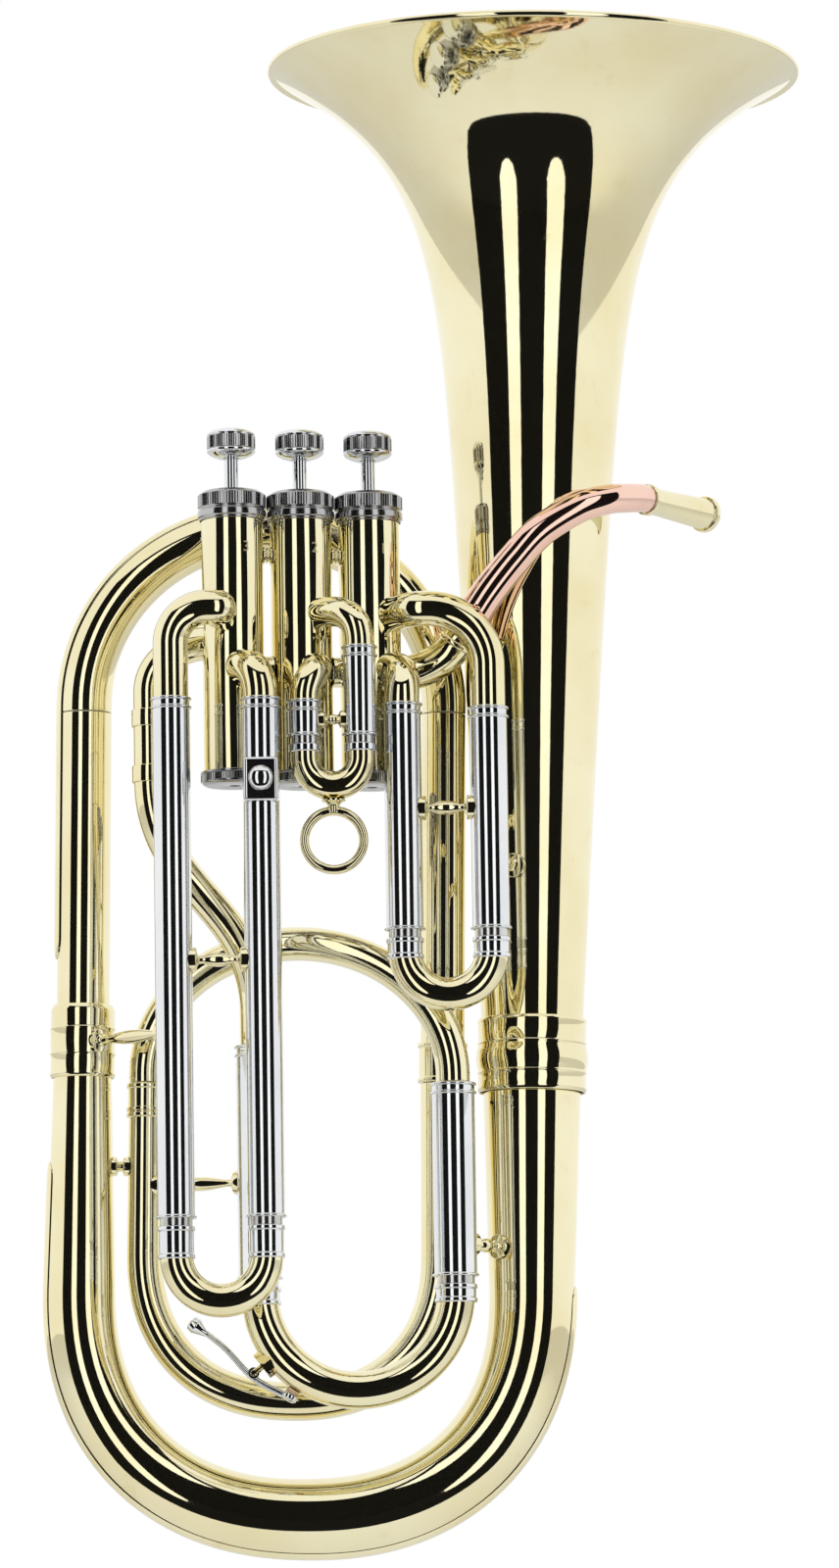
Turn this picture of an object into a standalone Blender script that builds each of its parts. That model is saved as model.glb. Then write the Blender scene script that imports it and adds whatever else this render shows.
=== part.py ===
# Three-valve baritone saxhorn, upright, bell up.
# All sizes below are real millimetres; the meshes are written in metres.
# World frame: +Z up, X along the front view, -Y toward the viewer. Places are measured from a
# point under valve 2, on its axis, level with the lowest point of the bottom bow. At the end the
# whole horn is moved so that the hand hold is the world's origin. The three pistons and all
# slides run exactly along Z. The outer tubing (bell, bows, branches) leans by WRAP_LEAN.
import math

import bmesh
import bpy
from mathutils import Matrix, Vector

MM = 0.001
GAP = 0.3
# The point on the main branch where the left hand holds the horn.
HAND_HOLD = (-90.7, 30.5, 291.6)
OVERRUN = 4.0

# Outer tubing
WRAP_LEAN = math.radians(1.0)
LOOP_Y = 30.5
BELL_Y = 35.5
BELL_X = 88.2
BRANCH_X = -95.8
INNER_BRANCH_X = 51.5
RETURN_X = -69.9
BOW_SQUARENESS = 2.27
TUBE_WALL = 0.9

# Bell
BELL_RIM_Z = 618.0
BELL_RIM_RADIUS = 110.0
BELL_THROAT_RADIUS = 20.0
BELL_TAPER = 0.047
BELL_SHOULDER = 5.8
BELL_SHOULDER_LENGTH = 130.0
BELL_FLARE_LENGTH = 34.3
BELL_WALL = 0.9
BELL_BEAD = 1.5
BELL_STATIONS = (0.0, 8.0, 18.0, 32.0, 52.0, 80.0, 125.0, 200.0, 300.0)
BELL_SIDES = 36

# Bell ferrule
BELL_JOINT_Z = 206.0
BELL_FERRULE_BOTTOM = 191.0
BELL_FERRULE_TOP = 221.5
BELL_FERRULE_WALL = 0.9
BELL_FERRULE_BULGE = 0.8

# Bottom bow
BOW_CENTRE_Z = 109.1
BOW_RIGHT_TOP_RADIUS = 20.5
BOW_RIGHT_RADIUS = 17.5
BOW_BOTTOM_RADIUS = 15.9
BOW_LEFT_RADIUS = 14.2
BOW_LEFT_TOP_RADIUS = 12.0
GUARD_THICKNESS = 1.1
GUARD_HALF_WIDTH = 6.0
GUARD_TONGUE = 0.55
GUARD_FLAT_ALLOWANCE = 1.015
BOTTOM_GUARD_RIGHT_Z = 112.0
BOTTOM_GUARD_LEFT_Z = 162.0

# Main branch, its ferrule and the top bow
BRANCH_JOINT_Z = 211.0
BRANCH_FERRULE_BOTTOM = 196.0
BRANCH_FERRULE_TOP = 226.0
BRANCH_FERRULE_WALL = 0.9
TOP_BOW_Z = 347.0
BRANCH_RADIUS = 10.8
INNER_BRANCH_RADIUS = 9.1
TOP_GUARD_END_Z = 245.0
TOP_GUARD_START_ANGLE = 95.0

# Inner loop
INNER_FERRULE_TOP = 211.0
INNER_FERRULE_BOTTOM = 194.5
INNER_FERRULE_RADIUS = 10.2
BACK_BOW_Z = 125.0
RETURN_RADIUS = 6.9
ARCH_FERRULE_BOTTOM = 180.0
ARCH_FERRULE_TOP = 194.0
ARCH_FERRULE_RADIUS = 7.9
ARCH_HEIGHT = 54.0
STRAIGHT_END = 3.0

# Main tuning slide
TUNING_Y = 7.0
TUNING_LEFT_X = -20.4
TUNING_RIGHT_X = 59.0
TUNING_LEFT_TOP = 207.5
TUNING_RIGHT_TOP = 191.2
TUNING_SLEEVE_END = 112.4
TUNING_FERRULE_END = 101.7
TUNING_SLEEVE_RADIUS = 8.7
TUNING_BOW_RADIUS = 7.7
TUNING_BOW_Z = 106.6
TUNING_BOW_STEPS = 8
SADDLE_WRAP = 3.0

# Valves
VALVE_PITCH = 28.4
ROW_TURN = math.radians(11.0)
CASING_RADIUS = 12.6
CASING_WALL = 2.0
PISTON_CLEARANCE = 0.2
CASING_BOTTOM = 315.0
CASING_TOP = 430.5
TOP_CAP_BOTTOM = 421.8
TOP_CAP_TOP = 434.0
BOTTOM_CAP_BOTTOM = 312.6
BOTTOM_CAP_TOP = 318.2
CAP_RADIUS = 14.0
CAP_HOLE_RADIUS = 3.6
VENT_HOLE_RADIUS = 2.2
PISTON_BOTTOM = 340.0
PISTON_TOP = 430.2
SPRING_POCKET_DEPTH = 10.0
PISTON_SOLID_TOP = 406.0
PISTON_SHELL = 1.6
STEM_RADIUS = 3.0
STEM_IN_BUTTON = 4.0
BUTTON_BOTTOM = 447.8
BUTTON_TOP = 460.5
BUTTON_RADIUS = 10.1
VALVE_TRAVEL = 13.0
PORT_RADIUS = 5.0
PASSAGE_RADIUS = 4.6
LOW_PORT_Z = 360.0
EXIT_PORT_Z = 371.8
HIGH_PORT_Z = 383.0
SPACER_Z = 408.0
SPACER_RADIUS = 3.4
KNUCKLE_RADIUS = 6.2
VALVE_SIDES = 16

# Valve springs
SPRING_RADIUS = 7.4
SPRING_WIRE = 0.5
SPRING_TURNS = 5

# Valve slides: tube sizes shared by each slide's sleeve, inner tube and bow
SLEEVE_WALL = 0.55
SLIDE_CLEARANCE = 0.45
SLIDE_WALL = 0.55
SLEEVE_RING = 0.9
SLEEVE_RING_HEIGHT = 2.4
SLIDE_SIDES = 10
SLEEVE_RADIUS = 7.6
SECOND_SLEEVE_RADIUS = 6.6
INNER_TUBE_MARGIN = 3.0

# Lead pipe and receiver
RECEIVER_LENGTH = 42.0
RECEIVER_START_RADIUS = 5.6
RECEIVER_END_RADIUS = 6.4
RECEIVER_RING_RADIUS = 7.5
RECEIVER_RING_LENGTH = 3.0
RECEIVER_BORE = 4.9
LEADPIPE_SMALL_RADIUS = 5.8
LEADPIPE_LARGE_RADIUS = 7.4
CROOK_RADIUS = 7.2
CROOK_FERRULE_RADIUS = 8.2
CROOK_FERRULE_LENGTH = 9.0

# Fittings
RING_Z = 287.6
RING_RADIUS = 12.0
RING_WIRE = 1.95
FLANGE_RADIUS = 5.0
BRACE_RADIUS = 2.0

COLOURS = {
    "brass": ((0.78, 0.60, 0.30), 0.12, 1.0),
    "nickel": ((0.78, 0.79, 0.82), 0.12, 1.0),
    "copper": ((0.82, 0.52, 0.44), 0.12, 1.0),
    "steel": ((0.60, 0.61, 0.63), 0.30, 1.0),
    "cork": ((0.62, 0.42, 0.25), 0.85, 0.0),
}


def clear_scene():
    for obj in list(bpy.data.objects):
        bpy.data.objects.remove(obj, do_unlink=True)


def surface(kind, name):
    colour, roughness, metallic = COLOURS[kind]
    material = bpy.data.materials.new(name)
    material.use_nodes = True
    shader = material.node_tree.nodes["Principled BSDF"]
    shader.inputs["Base Color"].default_value = (*colour, 1.0)
    shader.inputs["Roughness"].default_value = roughness
    shader.inputs["Metallic"].default_value = metallic
    return material


def empty(name, location=(0, 0, 0)):
    holder = bpy.data.objects.new(name, None)
    holder.location = Vector(location) * MM
    bpy.context.collection.objects.link(holder)
    return holder


def place(name, bm, kind, parent=None, helper=False):
    """Turn a millimetre mesh into a named object in metres, under its parent's frame."""
    bmesh.ops.recalc_face_normals(bm, faces=bm.faces)
    if bm.calc_volume(signed=True) < 0:
        bmesh.ops.reverse_faces(bm, faces=bm.faces)
    origin = Vector(parent.location) / MM if parent else Vector()
    bmesh.ops.translate(bm, verts=bm.verts, vec=-origin)
    bmesh.ops.scale(bm, verts=bm.verts, vec=(MM, MM, MM))
    mesh = bpy.data.meshes.new(name)
    bm.to_mesh(mesh)
    bm.free()
    obj = bpy.data.objects.new(name, mesh)
    bpy.context.collection.objects.link(obj)
    obj.parent = parent
    if helper:
        obj.hide_render = True
        obj.display_type = "WIRE"
        return obj
    mesh.materials.append(surface(kind, name + "_finish"))
    mesh.shade_smooth()
    mesh.set_sharp_from_angle(angle=math.radians(35))
    return obj


def boolean(obj, tool, operation="DIFFERENCE"):
    modifier = obj.modifiers.new(tool.name, "BOOLEAN")
    modifier.operation = operation
    modifier.solver = "EXACT"
    modifier.object = tool


def turned(bm, profile, sides, centre=(0, 0, 0)):
    """Spin a closed (radius, height) outline about the vertical line through the centre."""
    start = len(bm.verts)
    verts = [bm.verts.new((centre[0] + r, centre[1], centre[2] + z)) for r, z in profile]
    edges = [bm.edges.new((a, b)) for a, b in zip(verts, verts[1:] + verts[:1])]
    bmesh.ops.spin(bm, geom=verts + edges, cent=centre, axis=(0, 0, 1),
                   angle=math.tau, steps=sides, use_merge=True)
    bm.verts.ensure_lookup_table()
    bmesh.ops.remove_doubles(bm, verts=bm.verts[start:], dist=0.001)
    flat = [face for face in bm.faces if face.calc_area() < 1e-7]
    bmesh.ops.delete(bm, geom=flat, context="FACES")
    loose = [edge for edge in bm.edges if not edge.link_faces]
    bmesh.ops.delete(bm, geom=loose, context="EDGES")


def lengths(path):
    """Distance along the path at each of its points."""
    total = [0.0]
    for a, b in zip(path, path[1:]):
        total.append(total[-1] + (b - a).length)
    return total


def knots_on(path, knots):
    """Read knots (distance, radius): a negative distance counts back from the path's end."""
    total = lengths(path)[-1]
    return [(total if s is None else s + total if s < 0 else s, r) for s, r in knots]


def radius_at(knots, s):
    for (s0, r0), (s1, r1) in zip(knots, knots[1:]):
        if s0 <= s <= s1 and s1 > s0:
            return r0 + (r1 - r0) * (s - s0) / (s1 - s0)
    return knots[-1][1] if s >= knots[-1][0] else knots[0][1]


def frames_on(path, stations):
    """Point, normal and binormal at each station, carried along the path without twist."""
    dist = lengths(path)
    steps = [(b - a).normalized() for a, b in zip(path, path[1:])]
    normal = None
    frames = {}
    for s in stations:
        i = max(k for k in range(len(steps)) if dist[k] <= s + 1e-4)
        point = path[i] + steps[i] * (s - dist[i])
        tangent = steps[i]
        if i > 0 and abs(s - dist[i]) < 1e-4:
            tangent = (steps[i - 1] + steps[i]).normalized()
        if normal is None:
            side = Vector((0, 1, 0)) if abs(tangent.y) < 0.7 else Vector((0, 0, 1))
            normal = side
        normal = (normal - tangent * normal.dot(tangent)).normalized()
        frames[s] = (point, normal.copy(), tangent.cross(normal))
    return frames


def ring_stations(path_stations, knots):
    """One entry for each ring: (distance, radius), with both radii where a step is."""
    marks = {round(s, 3) for s, _ in knots}
    plain = [(s, radius_at(knots, s)) for s in path_stations if round(s, 3) not in marks]
    rings = plain + [(round(s, 3), r) for s, r in knots]
    return sorted(rings, key=lambda item: item[0])


def sweep(bm, path, outer, inner=None, sides=SLIDE_SIDES):
    """A round bar along the path, or a tube when an inner set of knots is given."""
    outer = knots_on(path, outer)
    inner = knots_on(path, inner) if inner else None
    bends = [round(s, 3) for s in lengths(path)]
    outer_rings = ring_stations(bends, outer)
    inner_rings = ring_stations(bends, inner) if inner else []
    stations = sorted({s for s, _ in outer_rings + inner_rings})
    frames = frames_on(path, stations)

    def ring(s, r):
        point, normal, binormal = frames[s]
        turns = [math.tau * k / sides for k in range(sides)]
        return [bm.verts.new(point + (normal * math.cos(a) + binormal * math.sin(a)) * r)
                for a in turns]

    def join(a, b):
        for k in range(sides):
            n = (k + 1) % sides
            bm.faces.new((a[k], a[n], b[n], b[k]))

    shell = [ring(s, r) for s, r in outer_rings]
    for a, b in zip(shell, shell[1:]):
        join(a, b)
    if not inner:
        bm.faces.new(shell[0])
        bm.faces.new(shell[-1])
        return
    bore = [ring(s, r) for s, r in inner_rings]
    for a, b in zip(bore, bore[1:]):
        join(b, a)
    join(bore[0], shell[0])
    join(shell[-1], bore[-1])


def tube(name, path, outer, inner, kind, sides=SLIDE_SIDES, parent=None):
    bm = bmesh.new()
    sweep(bm, path, outer, inner, sides)
    return place(name, bm, kind, parent)


def bezier(p0, d0, p1, d1, steps):
    """Smooth path from p0 heading along d0 to p1 heading along d1."""
    a, b = Vector(p0), Vector(p0) + Vector(d0)
    c, d = Vector(p1) - Vector(d1), Vector(p1)
    points = []
    for k in range(steps + 1):
        t = k / steps
        u = 1 - t
        points.append(a * u ** 3 + b * 3 * u * u * t + c * 3 * u * t * t + d * t ** 3)
    return points


def arc(centre, start, end, steps):
    """Circular or elliptical path: centre + cos * start + sin * end over a quarter turn."""
    quarter = math.pi / 2
    return [Vector(centre) + Vector(start) * math.cos(quarter * k / steps)
            + Vector(end) * math.sin(quarter * k / steps) for k in range(steps + 1)]


def bow_path(x_right, x_left, z, y_right, y_left, steps, squareness):
    """Down and round from the right leg to the left leg, a little squarer than a half circle."""
    middle = (x_right + x_left) / 2
    reach = (x_right - x_left) / 2
    points = []
    for k in range(steps + 1):
        turn = math.pi * k / steps
        cos, sin = abs(math.cos(turn)), abs(math.sin(turn))
        out = reach / (cos ** squareness + sin ** squareness) ** (1 / squareness)
        y = y_right + (y_left - y_right) * k / steps
        points.append(Vector((middle + out * math.cos(turn), y, z - out * math.sin(turn))))
    return points


def wrap_point(x, y, z):
    """A point of the leaning outer tubing in world millimetres."""
    return Matrix.Rotation(WRAP_LEAN, 3, "Y") @ Vector((x, y, z))


def bell_radius(depth):
    length = BELL_RIM_Z - BELL_JOINT_Z
    cone = BELL_THROAT_RADIUS + BELL_TAPER * (length - depth)
    shoulder = BELL_SHOULDER * math.exp(-depth / BELL_SHOULDER_LENGTH)
    flare = BELL_RIM_RADIUS - BELL_THROAT_RADIUS - BELL_TAPER * length - BELL_SHOULDER
    return cone + shoulder + flare * math.exp(-depth / BELL_FLARE_LENGTH)


def bell_outline():
    depths = list(BELL_STATIONS) + [BELL_RIM_Z - BELL_FERRULE_TOP, BELL_RIM_Z - BELL_JOINT_Z - GAP]
    outer = [(bell_radius(d), BELL_RIM_Z - d) for d in depths]
    bore = [(r - BELL_WALL, z) for r, z in reversed(outer)]
    rim, top = outer[0]
    bead = [(rim - 2 * BELL_WALL, top + BELL_BEAD), (rim, top + BELL_BEAD),
            (rim + BELL_BEAD * 0.6, top + BELL_BEAD * 0.6), (rim + BELL_BEAD * 0.6, top - BELL_BEAD * 0.6)]
    return bead + outer[1:] + bore[:-1]


def make_bell(wrap):
    bm = bmesh.new()
    turned(bm, bell_outline(), BELL_SIDES, (BELL_X, BELL_Y, 0))
    place("bell", bm, "brass", wrap)

    seat = bell_radius(BELL_RIM_Z - BELL_FERRULE_TOP) + GAP
    skin = seat + BELL_FERRULE_WALL
    height = BELL_FERRULE_TOP - BELL_FERRULE_BOTTOM
    low = BELL_FERRULE_BOTTOM + height * 0.26
    high = BELL_FERRULE_TOP - height * 0.34
    outline = [(seat, BELL_FERRULE_TOP), (skin, BELL_FERRULE_TOP), (skin, high),
               (skin + BELL_FERRULE_BULGE, (low + high) / 2), (skin, low),
               (skin, BELL_FERRULE_BOTTOM), (seat, BELL_FERRULE_BOTTOM)]
    bm = bmesh.new()
    turned(bm, outline, BELL_SIDES, (BELL_X, BELL_Y, 0))
    place("bell_ferrule", bm, "brass", wrap)


def bottom_bow_path():
    start = Vector((BELL_X, BELL_Y, BELL_JOINT_Z))
    curve = bow_path(BELL_X, BRANCH_X, BOW_CENTRE_Z, BELL_Y, LOOP_Y, 12, BOW_SQUARENESS)
    end = Vector((BRANCH_X, LOOP_Y, BRANCH_JOINT_Z - GAP))
    return [start] + curve + [end]


def bottom_bow_knots(path):
    dist = lengths(path)
    middle = (dist[1] + dist[-2]) / 2
    return [(0.0, BOW_RIGHT_TOP_RADIUS), (dist[1], BOW_RIGHT_RADIUS), (middle, BOW_BOTTOM_RADIUS),
            (dist[-2], BOW_LEFT_RADIUS),
            (dist[-1] - (BRANCH_JOINT_Z - BRANCH_FERRULE_BOTTOM), BOW_LEFT_TOP_RADIUS),
            (dist[-1], BOW_LEFT_TOP_RADIUS)]


def thinner(knots, wall):
    return [(s, r - wall) for s, r in knots]


def guard(name, path, knots, start, end, sign, wrap):
    """A rounded strip that follows the outside edge of a bow between two distances."""
    bends = [round(s, 3) for s in lengths(path) if start + 1 < s < end - 1]
    stations = [round(start, 3)] + bends + [round(end, 3)]
    frames = frames_on(path, stations)
    across = Vector((0, 1, 0))
    rows = []
    bm = bmesh.new()
    for s in stations:
        point, normal, binormal = frames[s]
        tangent = normal.cross(binormal)
        out = tangent.cross(across).normalized() * sign
        side = tangent.cross(out).normalized()
        seat = (radius_at(knots, s) + GAP) * GUARD_FLAT_ALLOWANCE
        half = GUARD_HALF_WIDTH / seat
        if s in (stations[0], stations[-1]):
            half *= GUARD_TONGUE
        row = []
        for level, turns in ((seat, (-half, 0, half)), (seat + GUARD_THICKNESS, (half, 0, -half))):
            row += [bm.verts.new(point + (out * math.cos(a) + side * math.sin(a)) * level) for a in turns]
        rows.append(row)
    for a, b in zip(rows, rows[1:]):
        for k in range(6):
            n = (k + 1) % 6
            bm.faces.new((a[k], a[n], b[n], b[k]))
    bm.faces.new(rows[0])
    bm.faces.new(rows[-1])
    place(name, bm, "brass", wrap)


def make_bottom_bow(wrap):
    path = bottom_bow_path()
    knots = bottom_bow_knots(path)
    tube("bottom_bow", path, knots, thinner(knots, TUBE_WALL), "brass", 16, wrap)
    dist = lengths(path)
    start = BELL_JOINT_Z - BOTTOM_GUARD_RIGHT_Z
    end = dist[-1] - (BRANCH_JOINT_Z - GAP - BOTTOM_GUARD_LEFT_Z)
    guard("bottom_bow_guard", path, knots, start, end, 1, wrap)


def make_branches(wrap):
    straight = [Vector((BRANCH_X, LOOP_Y, TOP_BOW_Z - GAP)), Vector((BRANCH_X, LOOP_Y, BRANCH_JOINT_Z))]
    knots = [(0.0, BRANCH_RADIUS), (None, BRANCH_RADIUS)]
    tube("main_branch", straight, knots, thinner(knots, TUBE_WALL), "brass", 16, wrap)

    upper = BRANCH_RADIUS + GAP
    lower = BOW_LEFT_TOP_RADIUS + GAP
    skin = lower + BRANCH_FERRULE_WALL
    outline = [(upper, BRANCH_FERRULE_TOP), (skin - BRANCH_FERRULE_WALL, BRANCH_FERRULE_TOP),
               (skin, BRANCH_FERRULE_TOP - 3), (skin, BRANCH_FERRULE_BOTTOM),
               (lower, BRANCH_FERRULE_BOTTOM), (lower, BRANCH_JOINT_Z), (upper, BRANCH_JOINT_Z)]
    bm = bmesh.new()
    turned(bm, outline, 20, (BRANCH_X, LOOP_Y, 0))
    place("branch_ferrule", bm, "brass", wrap)

    middle = (INNER_BRANCH_X + BRANCH_X) / 2
    reach = (INNER_BRANCH_X - BRANCH_X) / 2
    arch = [Vector((middle + reach * math.cos(math.pi * k / 14), LOOP_Y,
                    TOP_BOW_Z + STRAIGHT_END + reach * math.sin(math.pi * k / 14))) for k in range(15)]
    arch = [Vector((INNER_BRANCH_X, LOOP_Y, TOP_BOW_Z))] + arch + [Vector((BRANCH_X, LOOP_Y, TOP_BOW_Z))]
    knots = [(0.0, INNER_BRANCH_RADIUS), (lengths(arch)[-1], BRANCH_RADIUS)]
    tube("top_bow", arch, knots, thinner(knots, TUBE_WALL), "brass", 14, wrap)

    run = arch + [Vector((BRANCH_X, LOOP_Y, TOP_GUARD_END_Z))]
    total = lengths(arch)[-1]
    run_knots = knots + [(lengths(run)[-1], BRANCH_RADIUS)]
    start = total * TOP_GUARD_START_ANGLE / 180
    guard("top_bow_guard", run, run_knots, start, lengths(run)[-1], -1, wrap)


def make_inner_loop(wrap):
    x, y = INNER_BRANCH_X, LOOP_Y
    path = [Vector((x, y, TOP_BOW_Z - GAP)), Vector((x, y, INNER_FERRULE_BOTTOM))]
    ferrule = INNER_FERRULE_TOP - INNER_FERRULE_BOTTOM
    outer = [(0.0, INNER_BRANCH_RADIUS), (-ferrule, INNER_BRANCH_RADIUS),
             (-ferrule, INNER_FERRULE_RADIUS), (None, INNER_FERRULE_RADIUS)]
    bore = INNER_BRANCH_RADIUS - TUBE_WALL
    tube("inner_branch", path, outer, [(0.0, bore), (None, bore)], "brass", 14, wrap)

    top = Vector((x, y, INNER_FERRULE_BOTTOM - GAP))
    curve = bow_path(x, RETURN_X, BACK_BOW_Z, y, y, 10, BOW_SQUARENESS)
    end = Vector((RETURN_X, y, ARCH_FERRULE_TOP))
    path = [top] + curve + [end]
    total = lengths(path)[-1]
    ferrule = ARCH_FERRULE_TOP - ARCH_FERRULE_BOTTOM
    tube_knots = [(0.0, INNER_BRANCH_RADIUS), (total - ferrule, RETURN_RADIUS)]
    outer = tube_knots + [(total - ferrule, ARCH_FERRULE_RADIUS), (total, ARCH_FERRULE_RADIUS)]
    inner = thinner(tube_knots + [(total, RETURN_RADIUS)], TUBE_WALL)
    tube("back_bow", path, outer, inner, "brass", 12, wrap)


def make_arch():
    right = Vector((TUNING_RIGHT_X, TUNING_Y, TUNING_RIGHT_TOP + GAP))
    left = wrap_point(RETURN_X, LOOP_Y, ARCH_FERRULE_TOP + GAP)
    middle = (right + left) / 2
    reach = (right - left) / 2
    steps = 10
    lift = Vector((0, 0, STRAIGHT_END))
    path = [middle + lift + reach * math.cos(math.pi * k / steps)
            + Vector((0, 0, ARCH_HEIGHT * math.sin(math.pi * k / steps))) for k in range(steps + 1)]
    path = [right] + path + [left]
    knots = [(0.0, RETURN_RADIUS), (None, RETURN_RADIUS)]
    tube("arch", path, knots, thinner(knots, TUBE_WALL), "brass")


def sleeve_knots(run, radius, ring_end=True):
    """Outer radii of a sliding sleeve of this length at the end of a path, with its rings."""
    ring = radius + SLEEVE_RING
    high = SLEEVE_RING_HEIGHT
    knots = [(-run, ring), (-run + high, ring), (-run + high, radius)]
    if ring_end:
        knots += [(-high, radius), (-high, ring)]
        return knots + [(None, ring)]
    return knots + [(None, radius)]


def inner_tube_radius(sleeve):
    return sleeve - SLEEVE_WALL - SLIDE_CLEARANCE


def make_tuning():
    for side, x, top in (("left", TUNING_LEFT_X, TUNING_LEFT_TOP),
                         ("right", TUNING_RIGHT_X, TUNING_RIGHT_TOP)):
        path = [Vector((x, TUNING_Y, top)), Vector((x, TUNING_Y, TUNING_SLEEVE_END))]
        outer = sleeve_knots(top - TUNING_SLEEVE_END - 0.01, TUNING_SLEEVE_RADIUS)
        outer[0] = (0.0, outer[0][1])
        bore = TUNING_SLEEVE_RADIUS - SLEEVE_WALL
        neck = RETURN_RADIUS - TUBE_WALL
        inner = [(0.0, neck), (2.0, neck), (2.0, bore), (None, bore)]
        tube("tuning_sleeve_" + side, path, outer, inner, "nickel", 14)
    slide_bow("tuning_slide", TUNING_LEFT_X, TUNING_RIGHT_X, TUNING_Y, TUNING_RIGHT_TOP - 2.0,
              TUNING_SLEEVE_END, TUNING_FERRULE_END, TUNING_BOW_Z, TUNING_SLEEVE_RADIUS, TUNING_BOW_RADIUS,
              TUNING_BOW_STEPS)


def slide_bow(name, x_left, x_right, y, sleeve_top, sleeve_end, ferrule_end, bow_z, sleeve, bow_radius,
              steps):
    """A moving slide: two inner tubes with ferrules, joined by a half-round bow."""
    top = sleeve_top - INNER_TUBE_MARGIN
    holder = empty(name + "_path", ((x_left + x_right) / 2, y, top))
    curve = bow_path(x_right, x_left, bow_z, y, y, steps, 2.0)
    path = [Vector((x_right, y, top))] + curve + [Vector((x_left, y, top))]
    total = lengths(path)[-1]
    shoulder = sleeve_end - 3.0
    tube_radius = inner_tube_radius(sleeve)
    start = top - shoulder
    stop = top - ferrule_end
    outer = [(0.0, tube_radius), (start, tube_radius), (start, sleeve), (stop, sleeve), (stop, bow_radius),
             (total - stop, bow_radius), (total - stop, sleeve), (total - start, sleeve),
             (total - start, tube_radius), (total, tube_radius)]
    bore = tube_radius - SLIDE_WALL
    tube(name, path, outer, [(0.0, bore), (total, bore)], "brass", SLIDE_SIDES, holder)


def heading(degrees):
    """Level direction: 0 faces the viewer (-Y), positive turns toward +X."""
    turn = math.radians(degrees)
    return Vector((math.sin(turn), -math.cos(turn), 0))


def valve_axis(number):
    """Valve 1 stands right and back, valve 3 left and forward, valve 2 between."""
    along = VALVE_PITCH * (2 - number)
    return Vector((along * math.cos(ROW_TURN), along * math.sin(ROW_TURN), 0))


# Port directions in degrees and heights, by valve: air in, air out, upper and lower slide port
ROW = 90 + math.degrees(ROW_TURN)
PORTS = {
    1: {"in": (112, LOW_PORT_Z), "out": (ROW - 180, LOW_PORT_Z),
        "high": (50, HIGH_PORT_Z), "low": (45, LOW_PORT_Z)},
    2: {"in": (ROW, LOW_PORT_Z), "out": (ROW - 180, LOW_PORT_Z),
        "high": (42, HIGH_PORT_Z), "low": (27, LOW_PORT_Z)},
    3: {"in": (ROW, LOW_PORT_Z), "out": (-100, EXIT_PORT_Z),
        "high": (-27, HIGH_PORT_Z), "low": (20, LOW_PORT_Z)},
}


def port_point(number, port, distance, lift=0.0):
    degrees, height = PORTS[number][port]
    point = valve_axis(number) + heading(degrees) * distance
    return Vector((point.x, point.y, height + lift))


def rod(bm, a, b, radius, sides):
    sweep(bm, [Vector(a), Vector(b)], [(0.0, radius), (None, radius)], None, sides)


def make_casing(number):
    axis = valve_axis(number)
    holder = empty("valve_%d_axis" % number, axis)
    bore = CASING_RADIUS - CASING_WALL
    outline = [(bore, CASING_TOP), (CASING_RADIUS, CASING_TOP), (CASING_RADIUS, CASING_BOTTOM),
               (bore, CASING_BOTTOM)]
    bm = bmesh.new()
    turned(bm, outline, VALVE_SIDES, (axis.x, axis.y, 0))
    casing = place("valve_casing_%d" % number, bm, "brass", holder)
    if number == 2:
        bm = bmesh.new()
        reach = VALVE_PITCH - CASING_RADIUS - GAP
        for side in (1, -1):
            direction = heading(ROW) * side
            for height, radius in ((SPACER_Z, SPACER_RADIUS), (LOW_PORT_Z, KNUCKLE_RADIUS)):
                lift = Vector((0, 0, height))
                rod(bm, axis + direction * (bore + 0.2) + lift, axis + direction * reach + lift, radius, 12)
        boolean(casing, place("casing_knuckles", bm, "brass", holder, helper=True), "UNION")
    bm = bmesh.new()
    for port in PORTS[number]:
        rod(bm, port_point(number, port, bore - 2), port_point(number, port, CASING_RADIUS + OVERRUN),
            PORT_RADIUS, 10)
    boolean(casing, place("casing_%d_ports" % number, bm, "brass", holder, helper=True))
    return holder


def passage(bm, number, first, second, lift_first, lift_second, bias):
    """One passage of a piston: from port to port, bent near the piston's middle."""
    reach = CASING_RADIUS - CASING_WALL + OVERRUN
    start = port_point(number, first, reach, lift_first)
    end = port_point(number, second, reach, lift_second)
    near = port_point(number, first, reach * 0.55, lift_first)
    far = port_point(number, second, reach * 0.55, lift_second)
    middle = near * bias + far * (1 - bias)
    path = [start, near * 0.5 + middle * 0.5, far * 0.5 + middle * 0.5, end]
    sweep(bm, path, [(0.0, PASSAGE_RADIUS), (None, PASSAGE_RADIUS)], None, 8)


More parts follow.
